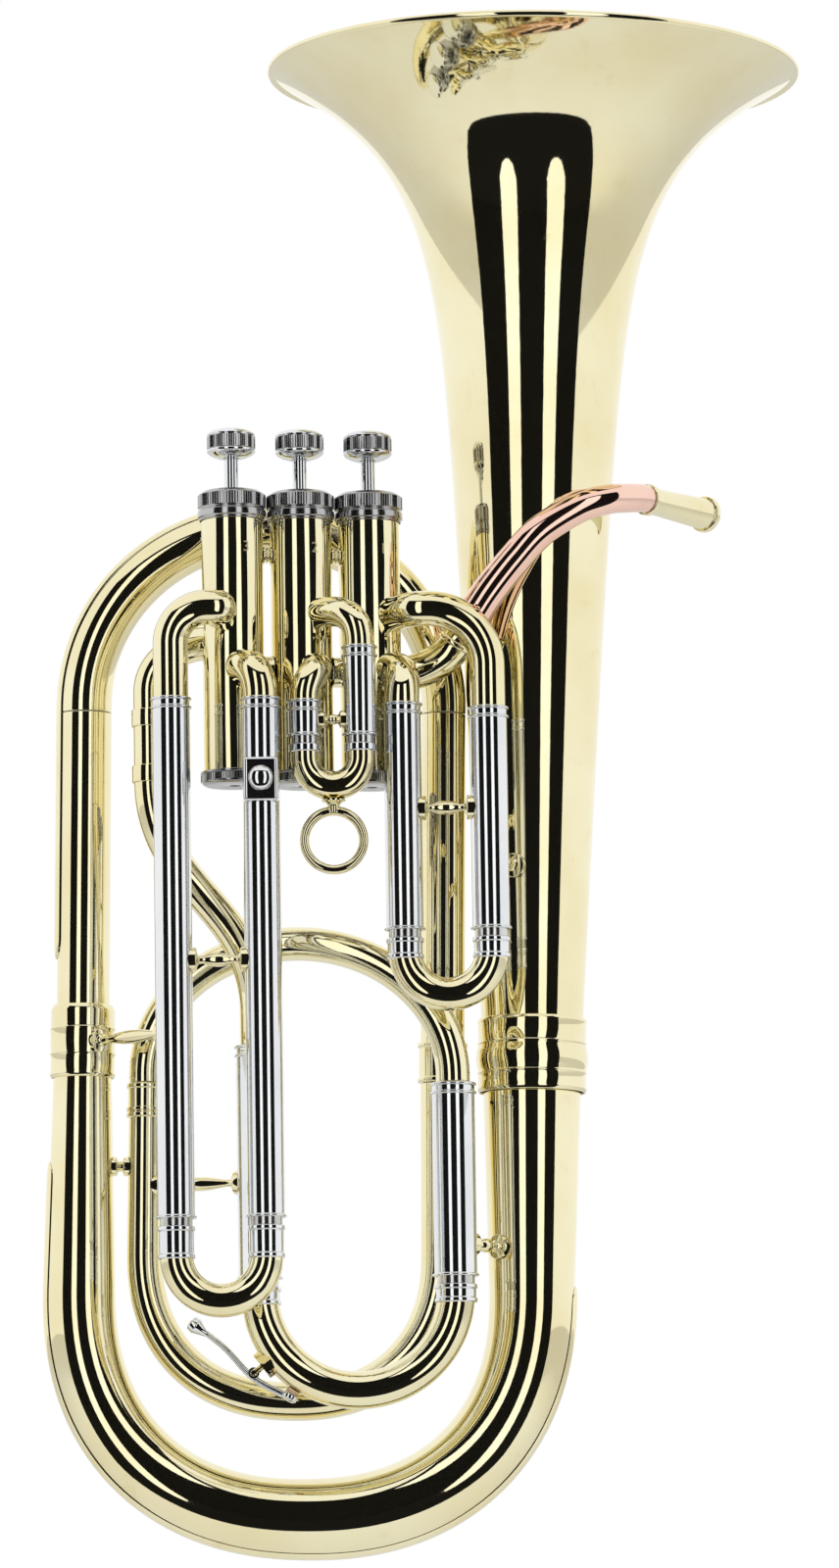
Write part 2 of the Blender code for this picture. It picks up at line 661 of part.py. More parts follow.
def make_piston(number, holder):
    axis = valve_axis(number)
    skin = CASING_RADIUS - CASING_WALL - PISTON_CLEARANCE
    pocket = skin - PISTON_SHELL
    floor = PISTON_BOTTOM + SPRING_POCKET_DEPTH
    stem_top = BUTTON_BOTTOM + STEM_IN_BUTTON - GAP
    outline = [(0, stem_top), (STEM_RADIUS, stem_top), (STEM_RADIUS, PISTON_SOLID_TOP),
               (pocket, PISTON_SOLID_TOP), (pocket, PISTON_TOP), (skin, PISTON_TOP), (skin, PISTON_BOTTOM),
               (pocket, PISTON_BOTTOM), (pocket, floor), (0, floor)]
    bm = bmesh.new()
    turned(bm, outline, VALVE_SIDES, (axis.x, axis.y, 0))
    piston = place("piston_%d" % number, bm, "nickel", holder)
    bm = bmesh.new()
    open_path = [port_point(number, "in", skin + OVERRUN), port_point(number, "out", skin + OVERRUN)]
    sweep(bm, open_path, [(0.0, PASSAGE_RADIUS), (None, PASSAGE_RADIUS)], None, 8)
    passage(bm, number, "in", "high", VALVE_TRAVEL, VALVE_TRAVEL, 0.3)
    passage(bm, number, "low", "out", VALVE_TRAVEL, VALVE_TRAVEL, 0.7)
    boolean(piston, place("piston_%d_passages" % number, bm, "nickel", holder, helper=True))

    under = BOTTOM_CAP_BOTTOM + 1.6
    coils = []
    per_turn = 8
    count = SPRING_TURNS * per_turn
    low = under + SPRING_WIRE + GAP
    high = floor - SPRING_WIRE - GAP
    for k in range(count + 1):
        turn = math.tau * k / per_turn
        height = low + (high - low) * k / count
        coils.append(Vector((axis.x + SPRING_RADIUS * math.cos(turn),
                             axis.y + SPRING_RADIUS * math.sin(turn), height)))
    tube("valve_spring_%d" % number, coils, [(0.0, SPRING_WIRE), (None, SPRING_WIRE)], None, "steel", 4,
         holder)
    if number == 1:
        pitch = (high - low) / SPRING_TURNS
        print("least gap between spring turns %.2f mm" % (pitch - 2 * SPRING_WIRE))


def make_caps(number, holder):
    axis = valve_axis(number)
    seat = CASING_RADIUS + GAP
    lid = CASING_TOP + GAP
    outline = [(CAP_HOLE_RADIUS, TOP_CAP_TOP), (CAP_RADIUS - 1.5, TOP_CAP_TOP),
               (CAP_RADIUS, TOP_CAP_TOP - 1.5),
               (CAP_RADIUS, TOP_CAP_BOTTOM), (seat, TOP_CAP_BOTTOM), (seat, lid), (CAP_HOLE_RADIUS, lid)]
    bm = bmesh.new()
    turned(bm, outline, VALVE_SIDES, (axis.x, axis.y, 0))
    place("top_cap_%d" % number, bm, "nickel", holder)

    lid = BOTTOM_CAP_BOTTOM + 1.6
    outline = [(VENT_HOLE_RADIUS, lid), (seat, lid), (seat, BOTTOM_CAP_TOP), (CAP_RADIUS, BOTTOM_CAP_TOP),
               (CAP_RADIUS, BOTTOM_CAP_BOTTOM + 0.8), (CAP_RADIUS - 0.8, BOTTOM_CAP_BOTTOM),
               (VENT_HOLE_RADIUS, BOTTOM_CAP_BOTTOM)]
    bm = bmesh.new()
    turned(bm, outline, VALVE_SIDES, (axis.x, axis.y, 0))
    place("bottom_cap_%d" % number, bm, "nickel", holder)

    socket = STEM_RADIUS + GAP
    roof = BUTTON_BOTTOM + STEM_IN_BUTTON
    outline = [(0, BUTTON_TOP), (BUTTON_RADIUS * 0.6, BUTTON_TOP - 0.8),
               (BUTTON_RADIUS * 0.93, BUTTON_TOP - 3.0),
               (BUTTON_RADIUS, BUTTON_TOP - 4.5), (BUTTON_RADIUS, BUTTON_BOTTOM + 1.0),
               (BUTTON_RADIUS - 1.0, BUTTON_BOTTOM), (socket, BUTTON_BOTTOM), (socket, roof), (0, roof)]
    bm = bmesh.new()
    turned(bm, outline, VALVE_SIDES, (axis.x, axis.y, 0))
    place("finger_button_%d" % number, bm, "nickel", holder)


def clearance_cutters():
    """Tall cylinders one gap wider than each casing, which give the crooks their saddle ends."""
    cutters = {}
    for number in (1, 2, 3):
        axis = valve_axis(number)
        bm = bmesh.new()
        low = Vector((axis.x, axis.y, CASING_BOTTOM - OVERRUN))
        high = Vector((axis.x, axis.y, CASING_TOP + OVERRUN))
        rod(bm, low, high, CASING_RADIUS + GAP, 24)
        cutters[number] = place("casing_%d_clearance" % number, bm, "brass", None, helper=True)
    return cutters


# Valve slides: lane depth, then for each leg its x and sleeve top, and the shared lower heights
SLIDES = {
    1: {"y": -16.0, "left": (40.4, 344.0), "right": (75.4, 342.0), "end": 251.0,
        "ferrule": 239.2, "bow": 242.4, "sleeve": SLEEVE_RADIUS, "high": "right", "low": "left"},
    2: {"y": -21.5, "left": (1.0, 345.0), "right": (23.5, 367.0), "end": 330.0,
        "ferrule": 323.6, "bow": 321.0, "sleeve": SECOND_SLEEVE_RADIUS, "high": "right", "low": "left"},
    3: {"y": -27.0, "left": (-53.0, 346.0), "right": (-16.8, 345.5), "end": 134.5,
        "ferrule": 118.1, "bow": 119.5, "sleeve": SLEEVE_RADIUS, "high": "left", "low": "right"},
}


def high_crook(number, x, y, top):
    start = port_point(number, "high", CASING_RADIUS - 2)
    out = heading(PORTS[number]["high"][0])
    if number == 2:
        return bezier(start, out * 15, (x, y, top + 1), (0, 0, -12), 6)
    side = -1 if number == 3 else 1
    bend = 15.0 if number == 3 else 24.0
    corner = Vector((x - side * bend, y, HIGH_PORT_Z))
    first = bezier(start, out * 9, corner, (side * 9, 0, 0), 4)
    down = arc((x - side * bend, y, HIGH_PORT_Z - bend), (0, 0, bend), (side * bend, 0, 0), 4)
    return first + down[1:]


def make_valve_slide(number, cutters):
    slide = SLIDES[number]
    sleeve = slide["sleeve"]
    y = slide["y"]
    crook = inner_tube_radius(sleeve) + SLEEVE_WALL
    for port in ("high", "low"):
        x, top = slide[slide[port]]
        if port == "high":
            path = high_crook(number, x, y, top)
        else:
            start = port_point(number, "low", CASING_RADIUS - 2)
            out = heading(PORTS[number]["low"][0])
            path = bezier(start, out * 10, (x, y, top + 1), (0, 0, -9), 5)
        path = path + [Vector((x, y, slide["end"]))]
        run = top - slide["end"]
        outer = [(0.0, crook), (-run, crook)] + sleeve_knots(run, sleeve)
        neck = inner_tube_radius(sleeve) - SLIDE_WALL
        bore = sleeve - SLEEVE_WALL
        inner = [(0.0, neck), (-run + 1, neck), (-run + 1, bore), (None, bore)]
        obj = tube("slide%d_%s_leg" % (number, port), path, outer, inner, "nickel")
        boolean(obj, cutters[number])
    low_top = min(slide["left"][1], slide["right"][1])
    slide_bow("slide%d_bow" % number, slide["left"][0], slide["right"][0], y, low_top,
              slide["end"], slide["ferrule"], slide["bow"], sleeve, inner_tube_radius(sleeve) + 0.2, 6)


def make_exit_tube(cutters):
    start = port_point(3, "out", CASING_RADIUS - 2)
    out = heading(PORTS[3]["out"][0])
    corner = Vector((-62.2, -0.5, 352.0))
    path = bezier(start, out * 13, corner, (0, 0, -12), 6)
    turn = Vector((-62.2, -0.5, 316.0))
    low = Vector((TUNING_LEFT_X, TUNING_Y, 221.0))
    path += bezier(turn, (0, 0, -46), low, (0, 0, -46), 8)
    path += [Vector((TUNING_LEFT_X, TUNING_Y, TUNING_LEFT_TOP + GAP))]
    knots = [(0.0, RETURN_RADIUS), (None, RETURN_RADIUS)]
    obj = tube("exit_tube", path, knots, thinner(knots, TUBE_WALL), "brass")
    boolean(obj, cutters[3])


def leadpipe_points():
    """Centre line of the lead pipe by hand, from the receiver down to its ferrule."""
    spots = [(141.5, 11.5, 431.5), (134.0, 4.2, 430.8), (126.0, -0.8, 429.5), (114.5, -3.6, 426.0),
             (98.6, -4.2, 416.5), (87.0, -2.4, 404.5), (76.3, 0.2, 391.4), (67.6, 3.4, 378.5)]
    points = [Vector(p) for p in spots]
    return [points[0], points[0] - receiver_heading() * STRAIGHT_END] + points[1:]


def receiver_heading():
    return Vector((0.63, 0.775, -0.03)).normalized()


def make_leadpipe(cutters):
    points = leadpipe_points()
    start = points[0] + receiver_heading() * GAP
    end = start + receiver_heading() * RECEIVER_LENGTH
    ring = RECEIVER_RING_LENGTH
    outer = [(0.0, RECEIVER_START_RADIUS + 0.8), (3.0, RECEIVER_START_RADIUS + 0.8),
             (3.0, RECEIVER_START_RADIUS),
             (-ring, RECEIVER_END_RADIUS), (-ring, RECEIVER_RING_RADIUS), (None, RECEIVER_RING_RADIUS)]
    inner = [(0.0, RECEIVER_BORE - 0.6), (None, RECEIVER_BORE)]
    tube("receiver", [start, end], outer, inner, "brass", 16)

    knots = [(0.0, LEADPIPE_SMALL_RADIUS), (None, LEADPIPE_LARGE_RADIUS)]
    tube("leadpipe", points, knots, thinner(knots, TUBE_WALL), "copper")

    down = (points[-1] - points[-2]).normalized()
    top = points[-1] + down * GAP
    neck = top + down * CROOK_FERRULE_LENGTH
    port = port_point(1, "in", CASING_RADIUS - 2)
    inward = -heading(PORTS[1]["in"][0])
    path = [top] + bezier(neck, down * 7, port, inward * 11, 6)
    outer = [(0.0, CROOK_FERRULE_RADIUS), (CROOK_FERRULE_LENGTH, CROOK_FERRULE_RADIUS),
             (CROOK_FERRULE_LENGTH, CROOK_RADIUS), (None, CROOK_RADIUS)]
    bore = CROOK_RADIUS - TUBE_WALL
    obj = tube("lead_crook", path, outer, [(0.0, bore), (None, bore)], "brass")
    boolean(obj, cutters[1])


def brace(name, p, q, p_radius, q_radius, p_line, q_line, flange=FLANGE_RADIUS):
    """A turned strut between the centre lines of two tubes, its flanges saddled on both."""
    p, q = Vector(p), Vector(q)
    first = p_radius + 1.6
    last = -(q_radius + 1.6)
    knots = [(0.0, flange), (first, flange), (first + 1.2, BRACE_RADIUS),
             (last - 1.2, BRACE_RADIUS), (last, flange), (None, flange)]
    bm = bmesh.new()
    sweep(bm, [p, q], knots, None, 10)
    obj = place(name, bm, "brass")
    for tag, point, line, radius in (("a", p, p_line, p_radius), ("b", q, q_line, q_radius)):
        bm = bmesh.new()
        reach = Vector(line).normalized() * 20
        rod(bm, point - reach, point + reach, radius + GAP, 20)
        boolean(obj, place(name + "_seat_" + tag, bm, "brass", None, helper=True))


def make_braces():
    up = Vector((0, 0, 1))
    leaning = wrap_point(0, 0, 1)
    z = 210.0
    left3 = Vector((SLIDES[3]["left"][0], SLIDES[3]["y"], z))
    brace("brace_branch_slide3", wrap_point(BRANCH_X, LOOP_Y, z + 1), left3,
          BOW_LEFT_TOP_RADIUS + GAP + BRANCH_FERRULE_WALL, SLEEVE_RADIUS, leaning, up)
    z = 160.0
    brace("brace_branch_return", wrap_point(BRANCH_X, LOOP_Y, z), wrap_point(RETURN_X, LOOP_Y, z),
          BOW_LEFT_TOP_RADIUS + 0.9, RETURN_RADIUS + 0.3, leaning, leaning, 4.0)
    z = 152.0
    brace("brace_return_tuning", wrap_point(RETURN_X, LOOP_Y, z), (TUNING_LEFT_X, TUNING_Y, z),
          RETURN_RADIUS + 0.3, TUNING_SLEEVE_RADIUS, leaning, up)
    z = 126.0
    brace("brace_tuning_bow", (TUNING_RIGHT_X, TUNING_Y, z), wrap_point(BELL_X, BELL_Y, z + 1),
          TUNING_SLEEVE_RADIUS, BOW_RIGHT_RADIUS + 0.9, up, leaning)
    z = 281.0
    bell_here = bell_radius(BELL_RIM_Z - z - 2 * FLANGE_RADIUS)
    brace("brace_slide1_bell", (SLIDES[1]["right"][0], SLIDES[1]["y"], z), wrap_point(BELL_X, BELL_Y, z + 1),
          SLEEVE_RADIUS, bell_here, up, leaning)
    for number, z in ((1, 301.0), (2, 337.0), (3, 239.0)):
        slide = SLIDES[number]
        radius = slide["sleeve"]
        flange = 3.6 if number == 2 else FLANGE_RADIUS
        brace("brace_slide%d_legs" % number, (slide["left"][0], slide["y"], z),
              (slide["right"][0], slide["y"], z),
              radius, radius, up, up, flange)


def make_finger_ring():
    slide = SLIDES[2]
    x = (slide["left"][0] + slide["right"][0]) / 2
    y = slide["y"]
    circle = [Vector((x + RING_RADIUS * math.cos(math.tau * k / 16), y,
                      RING_Z + RING_RADIUS * math.sin(math.tau * k / 16))) for k in range(16)]
    bm = bmesh.new()
    rings = []
    for point in circle:
        out = (point - Vector((x, y, RING_Z))).normalized()
        rings.append([bm.verts.new(point + (out * math.cos(math.tau * k / 6)
                                            + Vector((0, 1, 0)) * math.sin(math.tau * k / 6)) * RING_WIRE)
                      for k in range(6)])
    for a, b in zip(rings, rings[1:] + rings[:1]):
        for k in range(6):
            n = (k + 1) % 6
            bm.faces.new((a[k], a[n], b[n], b[k]))
    obj = place("slide2_finger_ring", bm, "brass", bpy.data.objects["slide2_bow_path"])
    reach = (slide["right"][0] - slide["left"][0]) / 2
    under = slide["bow"] - reach - inner_tube_radius(slide["sleeve"]) - 0.2 - GAP
    bm = bmesh.new()
    foot = Vector((x, y, RING_Z + RING_RADIUS - 0.8))
    sweep(bm, [foot, Vector((x, y, under))], [(0.0, 2.2), (2.0, 2.2), (None, 5.0)], None, 8)
    boolean(obj, place("finger_ring_post", bm, "brass", None, helper=True), "UNION")


def make_lyre_holder():
    x, top = SLIDES[3]["right"]
    y = SLIDES[3]["y"]
    low, high = 302.0, 320.0
    middle = (low + high) / 2
    front = y - SLEEVE_RADIUS - 3.2
    bm = bmesh.new()
    bmesh.ops.create_cube(bm, size=1.0)
    size = Vector((2 * SLEEVE_RADIUS - 1.0, y - front, high - low))
    bmesh.ops.scale(bm, vec=size, verts=bm.verts)
    bmesh.ops.translate(bm, vec=(x, (y + front) / 2 - 1.0, middle), verts=bm.verts)
    holder = place("lyre_holder", bm, "brass")
    bm = bmesh.new()
    rod(bm, (x, y, low - OVERRUN), (x, y, high + OVERRUN), SLEEVE_RADIUS + GAP, 20)
    boolean(holder, place("lyre_holder_seat", bm, "brass", None, helper=True))
    shank = 1.5
    bm = bmesh.new()
    rod(bm, (x, front - OVERRUN, middle), (x, y, middle), shank + GAP, 10)
    boolean(holder, place("lyre_screw_hole", bm, "brass", None, helper=True))

    face = front - 1.0 - GAP
    spin = empty("lyre_screw_axis", (x, face, middle))
    path = [Vector((x, y - SLEEVE_RADIUS - 2 * GAP, middle)), Vector((x, face - 5.0, middle))]
    shaft = (path[0] - Vector((x, face, middle))).length
    knots = [(0.0, shank), (shaft, shank), (shaft, 4.2), (shaft + 2.0, 5.0), (shaft + 3.8, 4.0), (None, 1.6)]
    tube("lyre_screw", path, knots, None, "nickel", 12, spin)


def make_water_key():
    """Sprung lever on the outside of the tuning slide's bow, with its saddle, pin and cork."""
    centre = Vector(((TUNING_LEFT_X + TUNING_RIGHT_X) / 2, TUNING_Y, TUNING_BOW_Z))
    reach = (TUNING_RIGHT_X - TUNING_LEFT_X) / 2

    def outside(degrees, distance):
        turn = math.radians(degrees)
        return centre + Vector((math.cos(turn), 0, math.sin(turn))) * (reach + distance)

    side = Vector((0, 1, 0))
    pivot = outside(217, TUNING_BOW_RADIUS + 6.0)
    seat = TUNING_BOW_RADIUS + GAP
    holder = empty("water_key_pivot", pivot)
    path_holder = bpy.data.objects["tuning_slide_path"]
    pin, hub, lever = 0.9, 2.4, 1.4
    ear = 5.0

    bm = bmesh.new()
    foot_path = [outside(217, seat - SADDLE_WRAP), outside(217, seat + 1.6)]
    sweep(bm, foot_path, [(0.0, ear + 1.2), (None, ear + 1.0)], None, 10)
    saddle = place("water_key_saddle", bm, "brass")
    saddle.parent = path_holder
    saddle.location = -path_holder.location
    bm = bmesh.new()
    curve = bow_path(TUNING_RIGHT_X, TUNING_LEFT_X, TUNING_BOW_Z, TUNING_Y, TUNING_Y, TUNING_BOW_STEPS, 2.0)
    room = TUNING_BOW_RADIUS + GAP
    sweep(bm, curve, [(0.0, room), (None, room)])
    boolean(saddle, place("water_key_bow_room", bm, "brass", None, helper=True))
    for tag, sign in (("front", -1), ("back", 1)):
        bm = bmesh.new()
        foot = outside(217, seat + 0.6) + side * ear * sign
        sweep(bm, [foot, pivot + side * ear * sign], [(0.0, 1.0), (None, 1.0)], None, 8)
        boolean(saddle, place("key_ear_" + tag, bm, "brass", None, helper=True), "UNION")
    bm = bmesh.new()
    rod(bm, pivot - side * (ear + 1.2), pivot + side * (ear + 1.2), pin, 8)
    boolean(saddle, place("key_pin", bm, "brass", None, helper=True), "UNION")

    cork_seat = outside(236, TUNING_BOW_RADIUS + 3.4)
    thumb = Vector((-47.5, TUNING_Y, 94.8))
    bm = bmesh.new()
    rod(bm, pivot - side * 1.5, pivot + side * 1.5, hub, 12)
    key = place("water_key_lever", bm, "nickel", holder)
    bm = bmesh.new()
    sweep(bm, [thumb, pivot, cork_seat], [(0.0, lever), (None, lever)], None, 8)
    boolean(key, place("key_arms", bm, "nickel", None, helper=True), "UNION")
    bm = bmesh.new()
    out = (cork_seat - centre).normalized()
    sweep(bm, [cork_seat - out * 1.4, cork_seat + out * 1.6], [(0.0, 3.4), (None, 3.2)], None, 10)
    boolean(key, place("key_cup", bm, "nickel", None, helper=True), "UNION")
    bm = bmesh.new()
    along = (thumb - pivot).normalized()
    sweep(bm, [thumb - along * 5, thumb + along * 2], [(0.0, 1.0), (3.5, 3.4), (None, 2.6)], None, 10)
    boolean(key, place("key_thumb", bm, "nickel", None, helper=True), "UNION")
    bm = bmesh.new()
    rod(bm, pivot - side * 6, pivot + side * 6, pin + GAP, 8)
    boolean(key, place("key_bore", bm, "nickel", None, helper=True))

    bm = bmesh.new()
    sweep(bm, [outside(236, seat), cork_seat - out * (1.4 + GAP)], [(0.0, 2.6), (None, 2.8)], None, 10)
    place("water_key_cork", bm, "cork", holder)

    coil = []
    turns, per_turn = 2, 8
    for k in range(turns * per_turn + 1):
        turn = math.tau * k / per_turn
        lift = 1.95 + 1.7 * k / (turns * per_turn)
        ring = Vector((math.cos(turn), 0, math.sin(turn))) * (pin + 0.75)
        coil.append(pivot + ring + side * lift)
    tube("water_key_spring", coil, [(0.0, 0.2), (None, 0.2)], None, "steel", 4, holder)


def build():
    clear_scene()
    wrap = empty("outer_wrap")
    wrap.rotation_euler = (0, WRAP_LEAN, 0)
    make_bell(wrap)
    make_bottom_bow(wrap)
    make_branches(wrap)
    make_inner_loop(wrap)
    make_arch()
    make_tuning()
    cutters = clearance_cutters()
    for number in (1, 2, 3):
        holder = make_casing(number)
        make_piston(number, holder)
        make_caps(number, holder)
        make_valve_slide(number, cutters)
    make_exit_tube(cutters)
    make_leadpipe(cutters)
    make_braces()
    make_finger_ring()
    make_lyre_holder()
    make_water_key()
    for obj in bpy.data.objects:
        if obj.parent is None:
            obj.location -= Vector(HAND_HOLD) * MM


build()
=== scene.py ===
import math

import bmesh
import bpy
from mathutils import Matrix, Vector


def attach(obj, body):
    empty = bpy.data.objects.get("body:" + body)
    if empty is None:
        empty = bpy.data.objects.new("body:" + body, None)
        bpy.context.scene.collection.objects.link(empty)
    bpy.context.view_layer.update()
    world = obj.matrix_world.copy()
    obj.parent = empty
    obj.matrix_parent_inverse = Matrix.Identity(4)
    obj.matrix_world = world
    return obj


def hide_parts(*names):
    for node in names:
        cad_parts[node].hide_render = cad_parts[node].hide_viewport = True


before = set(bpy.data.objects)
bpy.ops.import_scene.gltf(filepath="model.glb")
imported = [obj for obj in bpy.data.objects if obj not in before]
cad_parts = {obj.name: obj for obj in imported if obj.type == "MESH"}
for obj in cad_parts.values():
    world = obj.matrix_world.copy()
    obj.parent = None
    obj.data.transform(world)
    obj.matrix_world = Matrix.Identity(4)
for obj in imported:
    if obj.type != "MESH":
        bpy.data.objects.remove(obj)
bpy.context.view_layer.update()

# Bell: one sheet of brass, spun to its flare, with the rim rolled outwards round a wire.
# It is polished inside and out and covered with clear lacquer.
# Sizes here and below are millimetres from a point low under the middle valve. HOLD is the place
# where the left hand holds the main branch, which is the origin of every finished piece.
MM = 0.001
HOLD = Vector((-90.7, 30.5, 291.6))
GAP = 0.3
LEAN = math.radians(1.0)
TUBE_WALL = 0.9
BELL_X, BELL_Y = 88.2, 35.5
BELL_JOINT_Z = 206.0
RIM_Z = 618.0
RIM_RADIUS = 110.0
RIM_BEAD = 1.5
BELL_WALL = 0.9
FERRULE_LOW, FERRULE_HIGH = 191.0, 221.5
FINE, ROUND = 96, 48


def polish_group():
    """Colour, roughness and height of a buffed metal: slow clouds, fine buffing lines and smudges."""
    group = bpy.data.node_groups.new("buffed_metal", "ShaderNodeTree")
    sockets = group.interface
    for name, kind, value in (
            ("Bright", "NodeSocketColor", (0.9, 0.7, 0.4, 1.0)),
            ("Deep", "NodeSocketColor", (0.8, 0.6, 0.3, 1.0)),
            ("Stain", "NodeSocketColor", (0.5, 0.3, 0.15, 1.0)), ("Cloud Scale", "NodeSocketFloat", 22.0),
            ("Line Scale", "NodeSocketFloat", 700.0), ("Smooth", "NodeSocketFloat", 0.05),
            ("Dull", "NodeSocketFloat", 0.14), ("Stain Amount", "NodeSocketFloat", 0.15)):
        socket = sockets.new_socket(name, in_out="INPUT", socket_type=kind)
        socket.default_value = value
    sockets.new_socket("Color", in_out="OUTPUT", socket_type="NodeSocketColor")
    sockets.new_socket("Roughness", in_out="OUTPUT", socket_type="NodeSocketFloat")
    sockets.new_socket("Height", in_out="OUTPUT", socket_type="NodeSocketFloat")
    add, link = group.nodes.new, group.links.new
    given, out = add("NodeGroupInput"), add("NodeGroupOutput")
    place = add("ShaderNodeTexCoord")
    clouds, spots, lines = (add("ShaderNodeTexNoise") for _ in range(3))
    clouds.inputs["Detail"].default_value = 5.0
    spots.inputs["Detail"].default_value = 8.0
    spots.inputs["Roughness"].default_value = 0.65
    lines.inputs["Detail"].default_value = 2.0
    stretch = add("ShaderNodeMapping")
    stretch.inputs["Scale"].default_value = (1.0, 1.0, 0.08)
    link(place.outputs["Object"], clouds.inputs["Vector"])
    link(place.outputs["Object"], spots.inputs["Vector"])
    link(place.outputs["Object"], stretch.inputs["Vector"])
    link(stretch.outputs["Vector"], lines.inputs["Vector"])
    link(given.outputs["Cloud Scale"], clouds.inputs["Scale"])
    link(given.outputs["Line Scale"], lines.inputs["Scale"])
    spot_scale = add("ShaderNodeMath")
    spot_scale.operation = "MULTIPLY"
    spot_scale.inputs[1].default_value = 4.0
    link(given.outputs["Cloud Scale"], spot_scale.inputs[0])
    link(spot_scale.outputs[0], spots.inputs["Scale"])

    def spread(source, low, high, to_low=None, to_high=None):
        node = add("ShaderNodeMapRange")
        node.inputs["From Min"].default_value = low
        node.inputs["From Max"].default_value = high
        link(source, node.inputs["Value"])
        if to_low is not None:
            link(to_low, node.inputs["To Min"])
            link(to_high, node.inputs["To Max"])
        return node.outputs["Result"]

    cloudy = spread(clouds.outputs["Fac"], 0.35, 0.65)
    spotty = spread(spots.outputs["Fac"], 0.60, 0.74)
    tone, stained = add("ShaderNodeMix"), add("ShaderNodeMix")
    tone.data_type = stained.data_type = "RGBA"
    link(cloudy, tone.inputs["Factor"])
    link(given.outputs["Bright"], tone.inputs["A"])
    link(given.outputs["Deep"], tone.inputs["B"])
    amount = add("ShaderNodeMath")
    amount.operation = "MULTIPLY"
    link(spotty, amount.inputs[0])
    link(given.outputs["Stain Amount"], amount.inputs[1])
    link(amount.outputs[0], stained.inputs["Factor"])
    link(tone.outputs["Result"], stained.inputs["A"])
    link(given.outputs["Stain"], stained.inputs["B"])
    link(stained.outputs["Result"], out.inputs["Color"])
    both = add("ShaderNodeMath")
    both.operation = "MULTIPLY_ADD"
    both.inputs[1].default_value = 0.5
    link(lines.outputs["Fac"], both.inputs[0])
    half = add("ShaderNodeMath")
    half.operation = "MULTIPLY"
    half.inputs[1].default_value = 0.5
    link(spotty, half.inputs[0])
    link(half.outputs[0], both.inputs[2])
    rough = spread(both.outputs[0], 0.2, 0.75, given.outputs["Smooth"], given.outputs["Dull"])
    link(rough, out.inputs["Roughness"])
    link(lines.outputs["Fac"], out.inputs["Height"])
    return group


POLISH = polish_group()


def metal(name, bright, deep, stain, smooth, dull, stain_amount=0.15, lines=700.0, depth=0.01, coat=0.0,
          metallic=1.0):
    material = bpy.data.materials.new(name)
    material.use_nodes = True
    tree = material.node_tree
    shader = tree.nodes["Principled BSDF"]
    shader.inputs["Metallic"].default_value = metallic
    shader.inputs["Coat Weight"].default_value = coat
    shader.inputs["Coat Roughness"].default_value = 0.04
    buffed = tree.nodes.new("ShaderNodeGroup")
    buffed.node_tree = POLISH
    for socket, value in (("Bright", (*bright, 1.0)), ("Deep", (*deep, 1.0)), ("Stain", (*stain, 1.0)),
                          ("Line Scale", lines), ("Smooth", smooth), ("Dull", dull),
                          ("Stain Amount", stain_amount)):
        buffed.inputs[socket].default_value = value
    bump = tree.nodes.new("ShaderNodeBump")
    bump.inputs["Strength"].default_value = depth
    bump.inputs["Distance"].default_value = 0.0004
    tree.links.new(buffed.outputs["Color"], shader.inputs["Base Color"])
    tree.links.new(buffed.outputs["Roughness"], shader.inputs["Roughness"])
    tree.links.new(buffed.outputs["Height"], bump.inputs["Height"])
    tree.links.new(bump.outputs["Normal"], shader.inputs["Normal"])
    return material


BRASS = metal("lacquered_brass", (0.91, 0.85, 0.58), (0.86, 0.77, 0.47), (0.55, 0.35, 0.15), 0.03, 0.09,
              coat=0.25)


def lengths(path):
    """Distance along the path at each of its points."""
    total = [0.0]
    for a, b in zip(path, path[1:]):
        total.append(total[-1] + (b - a).length)
    return total


def eased(outline, size=0.35, steps=3, closed=True):
    """The outline with each hard corner turned into a small curve."""
    points = [Vector((s, r)) for s, r in outline]
    count = len(points)
    soft = []
    for i, corner in enumerate(points):
        if not closed and i in (0, count - 1):
            soft.append(corner)
            continue
        back = points[i - 1] - corner
        ahead = points[(i + 1) % count] - corner
        if back.length < 1e-6 or ahead.length < 1e-6:
            continue
        if back.angle(ahead) > math.radians(150):
            soft.append(corner)
            continue
        reach = min(size, back.length * 0.42, ahead.length * 0.42)
        first, last = corner + back.normalized() * reach, corner + ahead.normalized() * reach
        for k in range(steps + 1):
            t = k / steps
            soft.append(first * (1 - t) ** 2 + corner * 2 * t * (1 - t) + last * t * t)
    return [(p.x, p.y) for p in soft]


def on(path, knots):
    """Read knots (distance, radius): None is the path's end, and a negative distance counts back."""
    total = lengths(path)[-1]
    return [(total if s is None else s + total if s < 0 else s, r) for s, r in knots]


def radius_at(knots, s):
    for (s0, r0), (s1, r1) in zip(knots, knots[1:]):
        if s0 <= s <= s1 and s1 > s0:
            return r0 + (r1 - r0) * (s - s0) / (s1 - s0)
    return knots[-1][1] if s >= knots[-1][0] else knots[0][1]


